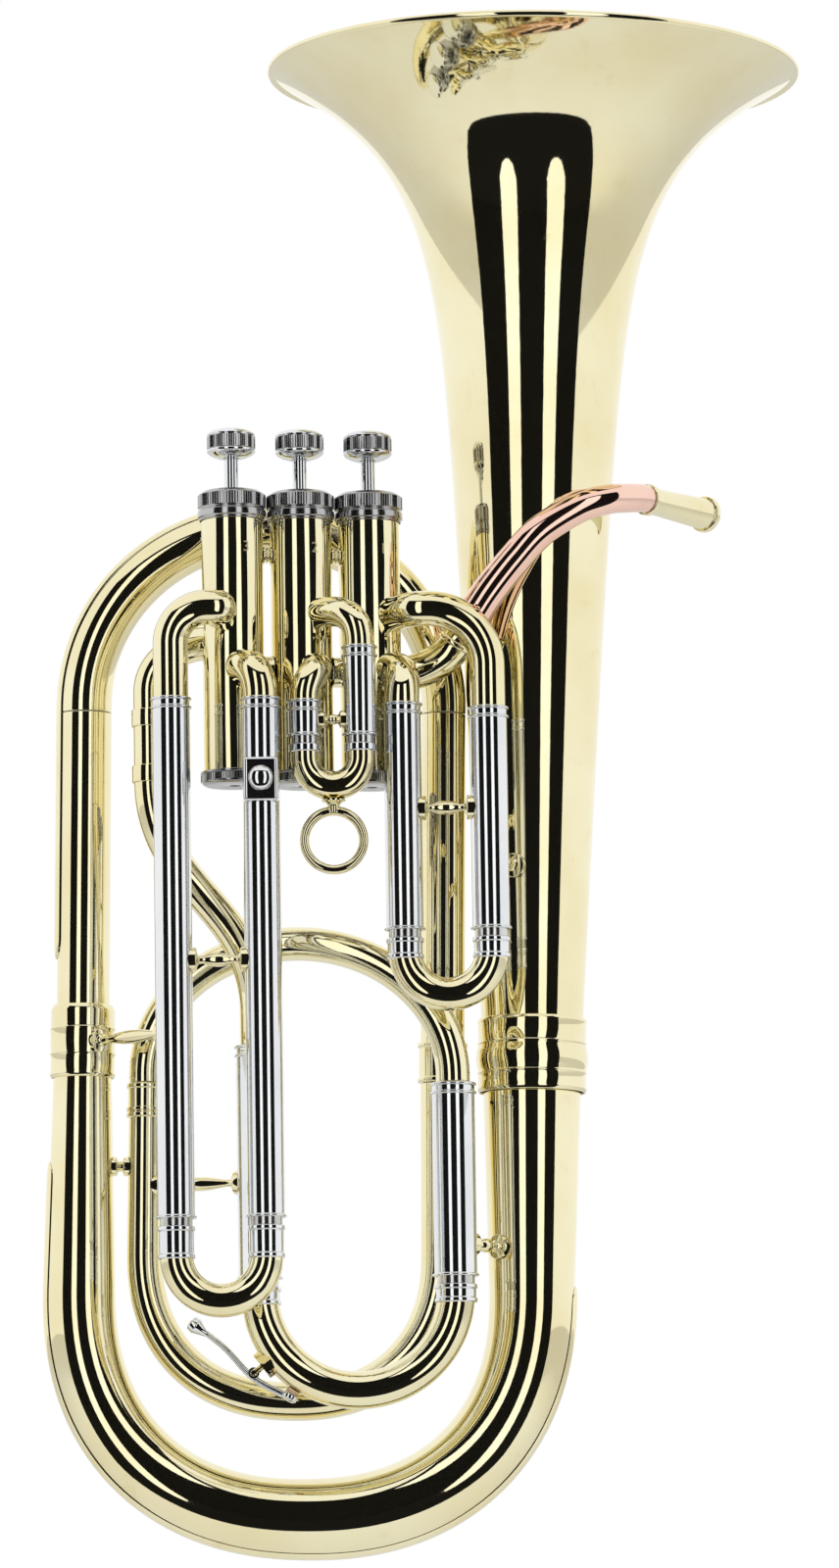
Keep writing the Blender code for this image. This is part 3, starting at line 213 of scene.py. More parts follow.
class Guide:
    """A path with a frame that is carried along it without twist."""

    def __init__(self, path):
        self.path = [Vector(p) for p in path]
        self.dist = lengths(self.path)
        steps = [(b - a).normalized() for a, b in zip(self.path, self.path[1:])]
        self.tangents = [steps[0]] + [(a + b).normalized() for a, b in zip(steps, steps[1:])] + [steps[-1]]
        side = Vector((0, 1, 0)) if abs(steps[0].y) < 0.7 else Vector((0, 0, 1))
        self.normals = []
        for tangent in self.tangents:
            side = (side - tangent * side.dot(tangent)).normalized()
            self.normals.append(side)

    def at(self, s):
        """Point, tangent, normal and binormal at this distance."""
        i = max(k for k in range(len(self.dist) - 1) if self.dist[k] <= max(s, 0.0) + 1e-6)
        t = (s - self.dist[i]) / (self.dist[i + 1] - self.dist[i])
        point = self.path[i].lerp(self.path[i + 1], t)
        u = min(max(t, 0.0), 1.0)
        tangent = self.tangents[i].lerp(self.tangents[i + 1], u).normalized()
        normal = self.normals[i].lerp(self.normals[i + 1], u)
        normal = (normal - tangent * normal.dot(tangent)).normalized()
        return point, tangent, normal, tangent.cross(normal)


def swept(bm, path, outline, sides=ROUND, closed=True):
    """Carry an outline of (distance, radius) points round and along a path."""
    guide = Guide(path)
    loop = list(outline) + [outline[0]] if closed else list(outline)
    stations = [loop[0]]
    for (s0, r0), (s1, r1) in zip(loop, loop[1:]):
        if abs(s1 - s0) > 0.5:
            low, high = min(s0, s1) + 0.2, max(s0, s1) - 0.2
            between = [s for s in guide.dist if low < s < high]
            if s1 < s0:
                between.reverse()
            stations += [(s, r0 + (r1 - r0) * (s - s0) / (s1 - s0)) for s in between]
        stations.append((s1, r1))
    if closed:
        stations.pop()
    rings = []
    for s, r in stations:
        point, tangent, normal, binormal = guide.at(s)
        if r < 1e-4:
            rings.append([bm.verts.new(point)])
            continue
        turns = [math.tau * k / sides for k in range(sides)]
        rings.append([bm.verts.new(point + (normal * math.cos(a) + binormal * math.sin(a)) * r)
                      for a in turns])
    pairs = list(zip(rings, rings[1:]))
    if closed:
        pairs.append((rings[-1], rings[0]))
    for a, b in pairs:
        for k in range(sides):
            n = (k + 1) % sides
            if len(a) == 1 and len(b) == 1:
                break
            if len(a) == 1:
                bm.faces.new((a[0], b[n], b[k]))
            elif len(b) == 1:
                bm.faces.new((a[k], a[n], b[0]))
            else:
                bm.faces.new((a[k], a[n], b[n], b[k]))


def upright(x, y, top=1000.0):
    """A vertical axis, so that an outline's distance is a height."""
    return [Vector((x, y, 0.0)), Vector((x, y, top))]


def piece(name, bm, material, body, replaced=(), lean=False, smooth=40.0):
    """Close a millimetre mesh into a finished piece in metres that rides on a body."""
    if lean:
        bmesh.ops.transform(bm, matrix=Matrix.Rotation(LEAN, 4, "Y"), verts=bm.verts)
    bmesh.ops.translate(bm, vec=-HOLD, verts=bm.verts)
    bmesh.ops.scale(bm, vec=(MM, MM, MM), verts=bm.verts)
    bmesh.ops.recalc_face_normals(bm, faces=bm.faces)
    if bm.calc_volume(signed=True) < 0:
        bmesh.ops.reverse_faces(bm, faces=bm.faces)
    mesh = bpy.data.meshes.new(name)
    bm.to_mesh(mesh)
    bm.free()
    mesh.materials.append(material)
    mesh.shade_smooth()
    mesh.set_sharp_from_angle(angle=math.radians(smooth))
    obj = bpy.data.objects.new(name, mesh)
    bpy.context.collection.objects.link(obj)
    if replaced:
        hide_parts(*replaced)
    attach(obj, body)
    return obj


def bell_radius(depth):
    """Cone, shoulder and flare of the bell at a depth below its rim."""
    length = RIM_Z - BELL_JOINT_Z
    cone = 20.0 + 0.047 * (length - depth)
    flare = RIM_RADIUS - 20.0 - 0.047 * length - 5.8
    return cone + 5.8 * math.exp(-depth / 130.0) + flare * math.exp(-depth / 34.3)


depths = [0.0]
while depths[-1] < RIM_Z - BELL_JOINT_Z - GAP - 6.0:
    depths.append(depths[-1] + 1.0 + depths[-1] * 0.05)
depths.append(RIM_Z - BELL_JOINT_Z - GAP)
skin = [(RIM_Z - d, bell_radius(d)) for d in depths]
lining = [(z, r - BELL_WALL) for z, r in reversed(skin)]
bead = []
for k in range(13):
    turn = math.radians(-100 + 230 * k / 12)
    bead.append((RIM_Z + RIM_BEAD * math.sin(turn), RIM_RADIUS - 0.6 + RIM_BEAD * math.cos(turn)))
bm = bmesh.new()
swept(bm, upright(BELL_X, BELL_Y), list(reversed(bead)) + skin[1:] + lining[:-1], FINE)
piece("bell_skin", bm, BRASS, "horn", ["bell"], lean=True)

# Bell ferrule: a spun brass sleeve soldered over the joint of the bell and the bottom bow.
# Its middle swells between two turned lines, and both ends are rolled thin.
seat = bell_radius(RIM_Z - FERRULE_HIGH) + GAP
ferrule = [(FERRULE_HIGH, seat), (FERRULE_HIGH, seat + 0.7), (FERRULE_HIGH - 1.4, seat + 1.3),
           (FERRULE_HIGH - 2.8, seat + 0.9), (FERRULE_HIGH - 9.6, seat + 0.9),
           (FERRULE_HIGH - 10.4, seat + 1.3)]
for k in range(9):
    share = k / 8
    ferrule.append((FERRULE_HIGH - 11.2 - 10.6 * share, seat + 1.0 + 0.8 * math.sin(math.pi * share)))
ferrule += [(FERRULE_LOW + 8.0, seat + 1.3), (FERRULE_LOW + 7.2, seat + 0.9), (FERRULE_LOW + 2.8, seat + 0.9),
            (FERRULE_LOW + 1.4, seat + 1.3), (FERRULE_LOW, seat + 0.7), (FERRULE_LOW, seat)]
bm = bmesh.new()
swept(bm, upright(BELL_X, BELL_Y), eased(ferrule, 0.3), FINE)
piece("bell_ferrule_band", bm, BRASS, "horn", ["bell_ferrule"], lean=True)

# Bottom bow: tapered brass tube, bent round from the bell to the main branch a little squarer
# than a half circle. It is drawn, filled, bent and polished, and soldered in both ferrules.
LOOP_Y = 30.5
BRANCH_X = -95.8
BRANCH_JOINT_Z = 211.0
BRANCH_FERRULE_LOW, BRANCH_FERRULE_HIGH = 196.0, 226.0
SQUARE = 2.27


def bow(x_right, x_left, z, y_right, y_left, squareness, steps=72):
    """Down and round from the right leg to the left leg."""
    middle, reach = (x_right + x_left) / 2, (x_right - x_left) / 2
    points = []
    for k in range(steps + 1):
        turn = math.pi * k / steps
        cos, sin = abs(math.cos(turn)), abs(math.sin(turn))
        out = reach / (cos ** squareness + sin ** squareness) ** (1 / squareness)
        y = y_right + (y_left - y_right) * k / steps
        points.append(Vector((middle + out * math.cos(turn), y, z - out * math.sin(turn))))
    return points


def tube_outline(outer, wall=TUBE_WALL, ease=0.3):
    """Outside and bore of a tube with an even wall."""
    return eased(list(outer) + [(s, r - wall) for s, r in reversed(outer)], ease)


def leaned(point):
    return Matrix.Rotation(LEAN, 3, "Y") @ Vector(point)


bow_run = [Vector((BELL_X, BELL_Y, BELL_JOINT_Z))] + bow(BELL_X, BRANCH_X, 109.1, BELL_Y, LOOP_Y, SQUARE)
bow_run.append(Vector((BRANCH_X, LOOP_Y, BRANCH_JOINT_Z - GAP)))
bow_dist = lengths(bow_run)
bow_knots = [(0.0, 20.5), (bow_dist[1], 17.5), ((bow_dist[1] + bow_dist[-2]) / 2, 15.9), (bow_dist[-2], 14.2),
             (bow_dist[-1] - (BRANCH_JOINT_Z - BRANCH_FERRULE_LOW), 12.0), (bow_dist[-1], 12.0)]
bm = bmesh.new()
swept(bm, bow_run, tube_outline(bow_knots), FINE)
piece("bottom_bow_tube", bm, BRASS, "horn", ["bottom_bow"], lean=True)

# Guards: strips of half-round brass on the outer edge of each bow, to take its knocks.
# Each is formed to the bow, brought to a tongue at both ends and soldered down all along.


def guard(name, path, knots, start, end, sign, node):
    """A domed strip along the outer edge of a bow, from one distance to another."""
    guide = Guide(path)
    inner = [s for s in guide.dist if start + 9 < s < end - 9]
    tips = [0.0, 0.6, 1.6, 3.2, 5.4, 8.0]
    stations = [start + t for t in tips] + inner + [end - t for t in reversed(tips)]
    bm = bmesh.new()
    rows = []
    for s in stations:
        point, tangent, _, _ = guide.at(s)
        out = tangent.cross(Vector((0, 1, 0))).normalized() * sign
        side = tangent.cross(out).normalized()
        near = min(s - start, end - s, 8.0) / 8.0
        share = math.sqrt(1 - (1 - near) ** 2) * 0.94 + 0.06
        seat = radius_at(knots, s) + 0.05
        half = 6.0 * share / seat
        row = [(math.sin(a * half), math.cos(a * half), seat) for a in (-1, -0.5, 0, 0.5, 1)]
        crown = 0.25 + 1.05 * share
        for a in (1, 0.92, 0.75, 0.5, 0.25, 0, -0.25, -0.5, -0.75, -0.92, -1):
            lift = crown * math.sqrt(max(0.0, 1 - abs(a) ** 3))
            row.append((math.sin(a * half), math.cos(a * half), seat + max(lift, 0.12)))
        rows.append([bm.verts.new(point + (side * x + out * y) * level) for x, y, level in row])
    for a, b in zip(rows, rows[1:]):
        for k in range(len(a)):
            n = (k + 1) % len(a)
            bm.faces.new((a[k], a[n], b[n], b[k]))
    bm.faces.new(rows[0])
    bm.faces.new(rows[-1])
    piece(name, bm, BRASS, "horn", [node], lean=True)


guard("bottom_bow_strip", bow_run, bow_knots, BELL_JOINT_Z - 112.0,
      bow_dist[-1] - (BRANCH_JOINT_Z - GAP - 162.0), 1, "bottom_bow_guard")

# Main branch and its ferrule: a plain drawn tube from the top bow down to the bottom bow.
# The ferrule is a spun sleeve with a shoulder, soldered over the joint.
TOP_BOW_Z = 347.0
BRANCH_RADIUS = 10.8
bm = bmesh.new()
branch = [(TOP_BOW_Z - GAP, BRANCH_RADIUS), (BRANCH_JOINT_Z, BRANCH_RADIUS)]
swept(bm, upright(BRANCH_X, LOOP_Y), tube_outline(branch))
piece("main_branch_tube", bm, BRASS, "horn", ["main_branch"], lean=True)

upper, lower = BRANCH_RADIUS + GAP, 12.0 + GAP
low, high = BRANCH_FERRULE_LOW, BRANCH_FERRULE_HIGH
sleeve = [(high, upper), (high, upper + 1.1), (high - 1.2, upper + 1.6), (high - 2.4, lower + 0.9),
          (high - 9.0, lower + 0.9), (high - 9.8, lower + 1.3), (high - 10.6, lower + 1.0),
          (low + 10.6, lower + 1.0), (low + 9.8, lower + 1.3), (low + 9.0, lower + 0.9),
          (low + 2.6, lower + 0.9), (low + 1.3, lower + 1.3), (low, lower + 0.6), (low, lower),
          (BRANCH_JOINT_Z, lower), (BRANCH_JOINT_Z, upper)]
bm = bmesh.new()
swept(bm, upright(BRANCH_X, LOOP_Y), eased(sleeve, 0.3))
piece("branch_ferrule_band", bm, BRASS, "horn", ["branch_ferrule"], lean=True)

# Top bow: half-round bow behind the valves, from the inner branch to the main branch, with a
# guard strip on its left shoulder that runs on down the main branch.
INNER_X = 51.5
INNER_RADIUS = 9.1
STUB = 3.0
middle, reach = (INNER_X + BRANCH_X) / 2, (INNER_X - BRANCH_X) / 2
top_run = [Vector((INNER_X, LOOP_Y, TOP_BOW_Z))]
for k in range(73):
    turn = math.pi * k / 72
    top_run.append(Vector((middle + reach * math.cos(turn), LOOP_Y,
                           TOP_BOW_Z + STUB + reach * math.sin(turn))))
top_run.append(Vector((BRANCH_X, LOOP_Y, TOP_BOW_Z)))
top_total = lengths(top_run)[-1]
top_knots = [(0.0, INNER_RADIUS), (top_total, BRANCH_RADIUS)]
bm = bmesh.new()
swept(bm, top_run, tube_outline(top_knots), 64)
piece("top_bow_tube", bm, BRASS, "horn", ["top_bow"], lean=True)
steps = [Vector((BRANCH_X, LOOP_Y, TOP_BOW_Z - 4.0 * k)) for k in range(1, 26)]
guard_run = top_run + [p for p in steps if p.z > 246.0] + [Vector((BRANCH_X, LOOP_Y, 245.0))]
guard_end = lengths(guard_run)[-1]
guard("top_bow_strip", guard_run, top_knots + [(guard_end, BRANCH_RADIUS)], top_total * 95.0 / 180.0,
      guard_end, -1, "top_bow_guard")

# Inner branch and back bow: the tube that comes up behind the valves, its ferrule at the lower
# end, and the bow below it, which rises on the left to the double-ringed ferrule of the arch.
INNER_FERRULE_LOW, INNER_FERRULE_HIGH = 194.5, 211.0
RETURN_X = -69.9
RETURN_RADIUS = 6.9
ARCH_LOW, ARCH_HIGH = 180.0, 194.0


def ringed(low, high, radius, swell, rings=2):
    """Outer outline of a ferrule, with a bead at each end: (height, radius) from high to low."""
    bead = 1.1
    points = [(high, radius), (high - 0.3, radius + swell * 0.7), (high - bead, radius + swell),
              (high - 2 * bead + 0.3, radius + swell * 0.7), (high - 2 * bead, radius)]
    if rings > 2:
        points += [(high - 2 * bead - 0.4, radius + swell * 0.7), (high - 3 * bead, radius + swell),
                   (high - 4 * bead + 0.2, radius + swell * 0.7), (high - 4 * bead + 0.4, radius)]
    points += [(low + 2 * bead, radius), (low + 2 * bead - 0.3, radius + swell * 0.7),
               (low + bead, radius + swell), (low + 0.3, radius + swell * 0.7), (low, radius)]
    return points


bore = INNER_RADIUS - TUBE_WALL
band = ringed(INNER_FERRULE_LOW, INNER_FERRULE_HIGH, 9.7, 0.7)
shape = [(TOP_BOW_Z - GAP, bore), (TOP_BOW_Z - GAP, INNER_RADIUS), (INNER_FERRULE_HIGH, INNER_RADIUS)] + band
shape.append((INNER_FERRULE_LOW, bore))
bm = bmesh.new()
swept(bm, upright(INNER_X, LOOP_Y), eased(shape, 0.2))
piece("inner_branch_tube", bm, BRASS, "horn", ["inner_branch"], lean=True)

back_run = [Vector((INNER_X, LOOP_Y, INNER_FERRULE_LOW - GAP))]
back_run += bow(INNER_X, RETURN_X, 125.0, LOOP_Y, LOOP_Y, SQUARE)
back_run.append(Vector((RETURN_X, LOOP_Y, ARCH_HIGH)))
total = lengths(back_run)[-1]
start = total - (ARCH_HIGH - ARCH_LOW)
band = [(total - (z - ARCH_LOW), r) for z, r in ringed(ARCH_LOW, ARCH_HIGH, 7.3, 0.7, 3)]
outer = [(0.0, INNER_RADIUS), (start, RETURN_RADIUS)] + band
bore = RETURN_RADIUS - TUBE_WALL
bore_knots = [(total, bore), (start, bore), (0.0, INNER_RADIUS - TUBE_WALL)]
bm = bmesh.new()
swept(bm, back_run, eased(outer + bore_knots, 0.2))
piece("back_bow_tube", bm, BRASS, "horn", ["back_bow"], lean=True)

# Arch: the gooseneck that carries the air from the main tuning slide over to the back bow.
# It is one bent brass tube, soldered into the right sleeve and into the ferrule on the left.
TUNING_Y = 7.0
TUNING_LEFT, TUNING_RIGHT = -20.4, 59.0
TUNING_LEFT_TOP, TUNING_RIGHT_TOP = 207.5, 191.2
right_foot = Vector((TUNING_RIGHT, TUNING_Y, TUNING_RIGHT_TOP + GAP))
left_foot = leaned((RETURN_X, LOOP_Y, ARCH_HIGH + GAP))
middle, reach = (right_foot + left_foot) / 2, (right_foot - left_foot) / 2
arch_run = [right_foot]
for k in range(61):
    turn = math.pi * k / 60
    lift = Vector((0, 0, STUB + 54.0 * math.sin(turn)))
    arch_run.append(middle + reach * math.cos(turn) + lift)
arch_run.append(left_foot)
bm = bmesh.new()
swept(bm, arch_run, tube_outline(on(arch_run, [(0.0, RETURN_RADIUS), (None, RETURN_RADIUS)])))
piece("arch_tube", bm, BRASS, "horn", ["arch"])

# Main tuning slide: two nickel sleeves on the horn, and the brass bow that draws out of them on
# its inner tubes, each with a turned ferrule. Grease and rubbing keep the inner tubes satin.
SLEEVE_WALL = 0.55
SLIDE_PLAY = 0.45
TUNING_SLEEVE_END = 112.4
TUNING_SLEEVE = 8.7
RING, RING_STEP = 1.2, 3.5
NICKEL = metal("nickel_plate", (0.84, 0.85, 0.86), (0.76, 0.78, 0.80), (0.45, 0.42, 0.38), 0.05, 0.13, 0.10)


def sleeve_outline(top, end, radius, neck):
    """Closed (height, radius) outline of a slide's outer sleeve, with its fine rings."""
    outline = [(top, neck)]
    for edge in (top, top - RING_STEP, end + RING):
        outline += [(edge, radius), (edge, radius + 0.4), (edge - 0.35, radius + 0.8),
                    (edge - 0.85, radius + 0.8), (edge - RING, radius + 0.4), (edge - RING, radius)]
    bore = radius - SLEEVE_WALL
    return outline + [(end, bore), (top - 2.0, bore), (top - 2.0, neck)]


for side, x, top in (("left", TUNING_LEFT, TUNING_LEFT_TOP), ("right", TUNING_RIGHT, TUNING_RIGHT_TOP)):
    bm = bmesh.new()
    outline = sleeve_outline(top, TUNING_SLEEVE_END, TUNING_SLEEVE, RETURN_RADIUS - TUBE_WALL)
    swept(bm, upright(x, TUNING_Y), eased(outline, 0.25))
    piece("tuning_sleeve_tube_" + side, bm, NICKEL, "horn", ["tuning_sleeve_" + side])

# Valve casings: three nickel-silver tubes turned to size, lacquered brass outside, with ports cut
# where the crooks meet them. Short turned spacers and air knuckles join them in one row.
PITCH = 28.4
ROW_TURN = math.radians(11.0)
ROW = 101.0
CASING_RADIUS, CASING_WALL = 12.6, 2.0
CASING_LOW, CASING_HIGH = 315.0, 430.5
LOW_PORT, EXIT_PORT, HIGH_PORT = 360.0, 371.8, 383.0
PORT_RADIUS, PASSAGE_RADIUS = 5.0, 4.6
TRAVEL = 13.0
PORTS = {
    1: {"in": (112, LOW_PORT), "out": (ROW - 180, LOW_PORT), "high": (50, HIGH_PORT), "low": (45, LOW_PORT)},
    2: {"in": (ROW, LOW_PORT), "out": (ROW - 180, LOW_PORT), "high": (42, HIGH_PORT), "low": (27, LOW_PORT)},
    3: {"in": (ROW, LOW_PORT), "out": (-100, EXIT_PORT), "high": (-27, HIGH_PORT), "low": (20, LOW_PORT)},
}


def heading(degrees):
    """Level direction: 0 faces the viewer, positive turns to the right."""
    turn = math.radians(degrees)
    return Vector((math.sin(turn), -math.cos(turn), 0))


def valve_axis(number):
    along = PITCH * (2 - number)
    return Vector((along * math.cos(ROW_TURN), along * math.sin(ROW_TURN), 0))


def port_point(number, port, distance, lift=0.0):
    degrees, height = PORTS[number][port]
    point = valve_axis(number) + heading(degrees) * distance
    return Vector((point.x, point.y, height + lift))


def rod(bm, a, b, radius, sides=32):
    length = (Vector(b) - Vector(a)).length
    outline = [(0.0, 0.0), (0.0, radius), (length, radius), (length, 0.0)]
    swept(bm, [Vector(a), Vector(b)], outline, sides, False)


def carved(bm, cutter, operation="DIFFERENCE"):
    """The first mesh with the second cut out of it, or joined to it, as a new bmesh."""
    objects = []
    for name, part in (("kept", bm), ("tool", cutter)):
        bmesh.ops.recalc_face_normals(part, faces=part.faces)
        mesh = bpy.data.meshes.new(name)
        part.to_mesh(mesh)
        part.free()
        objects.append(bpy.data.objects.new(name, mesh))
        bpy.context.collection.objects.link(objects[-1])
    kept, tool = objects
    cut = kept.modifiers.new("cut", "BOOLEAN")
    cut.operation = operation
    cut.solver = "EXACT"
    cut.object = tool
    shape = bpy.data.meshes.new_from_object(kept.evaluated_get(bpy.context.evaluated_depsgraph_get()))
    result = bmesh.new()
    result.from_mesh(shape)
    for obj in objects:
        bpy.data.objects.remove(obj, do_unlink=True)
    bpy.data.meshes.remove(shape)
    return result


for number in (1, 2, 3):
    axis = valve_axis(number)
    bore = CASING_RADIUS - CASING_WALL
    wall = [(CASING_LOW, bore), (CASING_LOW, CASING_RADIUS), (CASING_HIGH, CASING_RADIUS),
            (CASING_HIGH, bore)]
    bm = bmesh.new()
    swept(bm, upright(axis.x, axis.y), eased(wall, 0.2), 64)
    cutter = bmesh.new()
    for port in PORTS[number]:
        rod(cutter, port_point(number, port, bore - 2), port_point(number, port, CASING_RADIUS + 4),
            PORT_RADIUS)
    bm = carved(bm, cutter)
    piece("casing_%d" % number, bm, BRASS, "horn", ["valve_casing_%d" % number])
ends = (CASING_RADIUS - 0.2, PITCH - CASING_RADIUS + 0.2)
for tag, side in (("left", -1), ("right", 1)):
    direction = heading(ROW) * side
    start = valve_axis(2) + direction * ends[0]
    span = ends[1] - ends[0]
    knuckle = [(0.0, 4.0), (0.0, 6.4), (0.8, 6.2), (span - 0.8, 6.2), (span, 6.4), (span, 4.0)]
    spacer = [(0.0, 0.0), (0.0, 3.9), (0.6, 3.9), (0.9, 2.6), (span / 2 - 0.5, 2.4), (span / 2 - 0.3, 3.4),
              (span / 2 + 0.3, 3.4), (span / 2 + 0.5, 2.4), (span - 0.9, 2.6), (span - 0.6, 3.9), (span, 3.9),
              (span, 0.0)]
    for kind, height, outline, closed in (("knuckle", LOW_PORT, knuckle, True),
                                          ("spacer", 408.0, spacer, False)):
        near = start + Vector((0, 0, height))
        bm = bmesh.new()
        swept(bm, [near, near + direction * span], eased(outline, 0.15, 3, closed), 40, closed)
        piece("casing_%s_%s" % (kind, tag), bm, BRASS, "horn")

# Valve numbers: plain figures stamped into the front of each casing, to the right under its top
# cap. The stamp leaves their floor matt, so they stay pale where the casing mirrors the dark.
STAMPED = metal("stamped_figure", (0.80, 0.70, 0.45), (0.70, 0.60, 0.38), (0.40, 0.30, 0.20), 0.35, 0.50, 0.3)
NUMBER_Z, NUMBER_TURN = 409.5, math.radians(28.0)
for number in (1, 2, 3):
    words = bpy.data.curves.new("figure", "FONT")
    words.body = str(number)
    words.size = 6.2
    words.extrude = 0.0
    words.resolution_u = 6
    words.align_x, words.align_y = "CENTER", "CENTER"
    holder = bpy.data.objects.new("figure", words)
    bpy.context.collection.objects.link(holder)
    flat = bpy.data.meshes.new_from_object(holder.evaluated_get(bpy.context.evaluated_depsgraph_get()))
    bm = bmesh.new()
    bm.from_mesh(flat)
    bpy.data.objects.remove(holder, do_unlink=True)
    bpy.data.curves.remove(words)
    bpy.data.meshes.remove(flat)
    bmesh.ops.triangulate(bm, faces=bm.faces)
    bmesh.ops.subdivide_edges(bm, edges=bm.edges, cuts=2, use_grid_fill=True)
    base = list(bm.faces)
    raised = bmesh.ops.extrude_face_region(bm, geom=base)
    top = {item for item in raised["geom"] if isinstance(item, bmesh.types.BMVert)}
    axis = valve_axis(number)
    for vert in bm.verts:
        turn = vert.co.x / CASING_RADIUS + NUMBER_TURN
        level = CASING_RADIUS + (0.06 if vert in top else -0.04)
        spot = heading(math.degrees(turn)) * level
        vert.co = Vector((axis.x + spot.x, axis.y + spot.y, NUMBER_Z + vert.co.y))
    piece("number_%d" % number, bm, STAMPED, "horn", smooth=20.0)

# Pistons: nickel-plated tubes lapped to their casings. Three brass passages go through each: one
# straight, and two bent ones that come level with the ports when the piston is down.
STEM_TOP = 447.8 + 4.0 - GAP
BUTTON_LOW, BUTTON_HIGH, BUTTON_RADIUS = 447.8, 460.5, 10.1


def passage(bm, number, first, second, bias):
    reach = CASING_RADIUS - CASING_WALL + 4.0
    start, end = port_point(number, first, reach, TRAVEL), port_point(number, second, reach, TRAVEL)
    near = port_point(number, first, reach * 0.55, TRAVEL)
    far = port_point(number, second, reach * 0.55, TRAVEL)
    middle = near * bias + far * (1 - bias)
    run = [start, near * 0.5 + middle * 0.5, far * 0.5 + middle * 0.5, end]
    total = lengths(run)[-1]
    swept(bm, run, [(0.0, 0.0), (0.0, PASSAGE_RADIUS), (total, PASSAGE_RADIUS), (total, 0.0)], 24, False)


for number in (1, 2, 3):
    axis = valve_axis(number)
    skin = CASING_RADIUS - CASING_WALL - 0.2
    pocket = skin - 1.6
    outline = [(STEM_TOP, 0.0), (STEM_TOP, 3.0), (406.0, 3.0), (406.0, pocket), (430.2, pocket),
               (430.2, skin), (340.0, skin), (340.0, pocket), (350.0, pocket), (350.0, 0.0)]
    bm = bmesh.new()
    swept(bm, upright(axis.x, axis.y), eased(outline, 0.2, 3, False), 48, False)
    cutter = bmesh.new()
    rod(cutter, port_point(number, "in", skin + 4), port_point(number, "out", skin + 4), PASSAGE_RADIUS, 24)
    bm = carved(bm, cutter)
    for first, second, bias in (("in", "high", 0.3), ("low", "out", 0.7)):
        cutter = bmesh.new()
        passage(cutter, number, first, second, bias)
        bm = carved(bm, cutter)
    piece("piston_body_%d" % number, bm, NICKEL, "valve_%d" % number, ["piston_%d" % number])

# Valve springs: coiled spring wire under each piston, seen only through the vent of the bottom cap.
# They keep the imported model's solid, because it is the one that shortens with the valve.
STEEL = metal("spring_wire", (0.66, 0.67, 0.69), (0.52, 0.53, 0.55), (0.35, 0.30, 0.26), 0.22, 0.38, 0.2)


def refinish(node, material):
    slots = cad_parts[node].data.materials
    slots.clear()
    slots.append(material)


for number in (1, 2, 3):
    refinish("valve_spring_%d" % number, STEEL)

# Valve caps and finger buttons: turned brass, nickel plated, with a straight-knurled band so that
# a finger can turn them. The knurls are ridges set round the band by a small node tree.
CAP_RADIUS = 14.0
TOP_CAP_LOW, TOP_CAP_HIGH = 421.8, 434.0
BOTTOM_CAP_LOW, BOTTOM_CAP_HIGH = 312.6, 318.2
# The caps and every knurl take a darker nickel: painted shade for the dark look of the knurled bands.
PAINTED_SHADE_NICKEL = metal("nickel_painted_shade", (0.52, 0.52, 0.52), (0.40, 0.40, 0.40), (0.25, 0.23, 0.20), 0.12, 0.30,
                    0.3)


def knurl_tree():
    """A ring of small upright ridges, with named sizes."""
    tree = bpy.data.node_groups.new("knurled_band", "GeometryNodeTree")
    sockets = tree.interface
    sockets.new_socket("Geometry", in_out="INPUT", socket_type="NodeSocketGeometry")
    for name, kind in (("Count", "NodeSocketInt"), ("Band Radius", "NodeSocketFloat"),
                       ("Ridge Height", "NodeSocketFloat"), ("Ridge Radius", "NodeSocketFloat"),
                       ("Material", "NodeSocketMaterial")):
        sockets.new_socket(name, in_out="INPUT", socket_type=kind)
    sockets.new_socket("Geometry", in_out="OUTPUT", socket_type="NodeSocketGeometry")
    add, link = tree.nodes.new, tree.links.new
    given, out = add("NodeGroupInput"), add("NodeGroupOutput")
    circle, ridge = add("GeometryNodeMeshCircle"), add("GeometryNodeMeshCylinder")
    ridge.inputs["Vertices"].default_value = 6
    link(given.outputs["Count"], circle.inputs["Vertices"])
    link(given.outputs["Band Radius"], circle.inputs["Radius"])
    link(given.outputs["Ridge Radius"], ridge.inputs["Radius"])
    link(given.outputs["Ridge Height"], ridge.inputs["Depth"])
    spot, turn = add("GeometryNodeInputPosition"), add("FunctionNodeAlignRotationToVector")
    turn.axis = "X"
    link(spot.outputs["Position"], turn.inputs["Vector"])
    copies, whole = add("GeometryNodeInstanceOnPoints"), add("GeometryNodeRealizeInstances")
    paint = add("GeometryNodeSetMaterial")
    link(circle.outputs["Mesh"], copies.inputs["Points"])
    link(ridge.outputs["Mesh"], copies.inputs["Instance"])
    link(turn.outputs["Rotation"], copies.inputs["Rotation"])
    link(copies.outputs["Instances"], whole.inputs["Geometry"])
    link(whole.outputs["Geometry"], paint.inputs["Geometry"])
    link(given.outputs["Material"], paint.inputs["Material"])
    link(paint.outputs["Geometry"], out.inputs["Geometry"])
    return tree


KNURLS = knurl_tree()


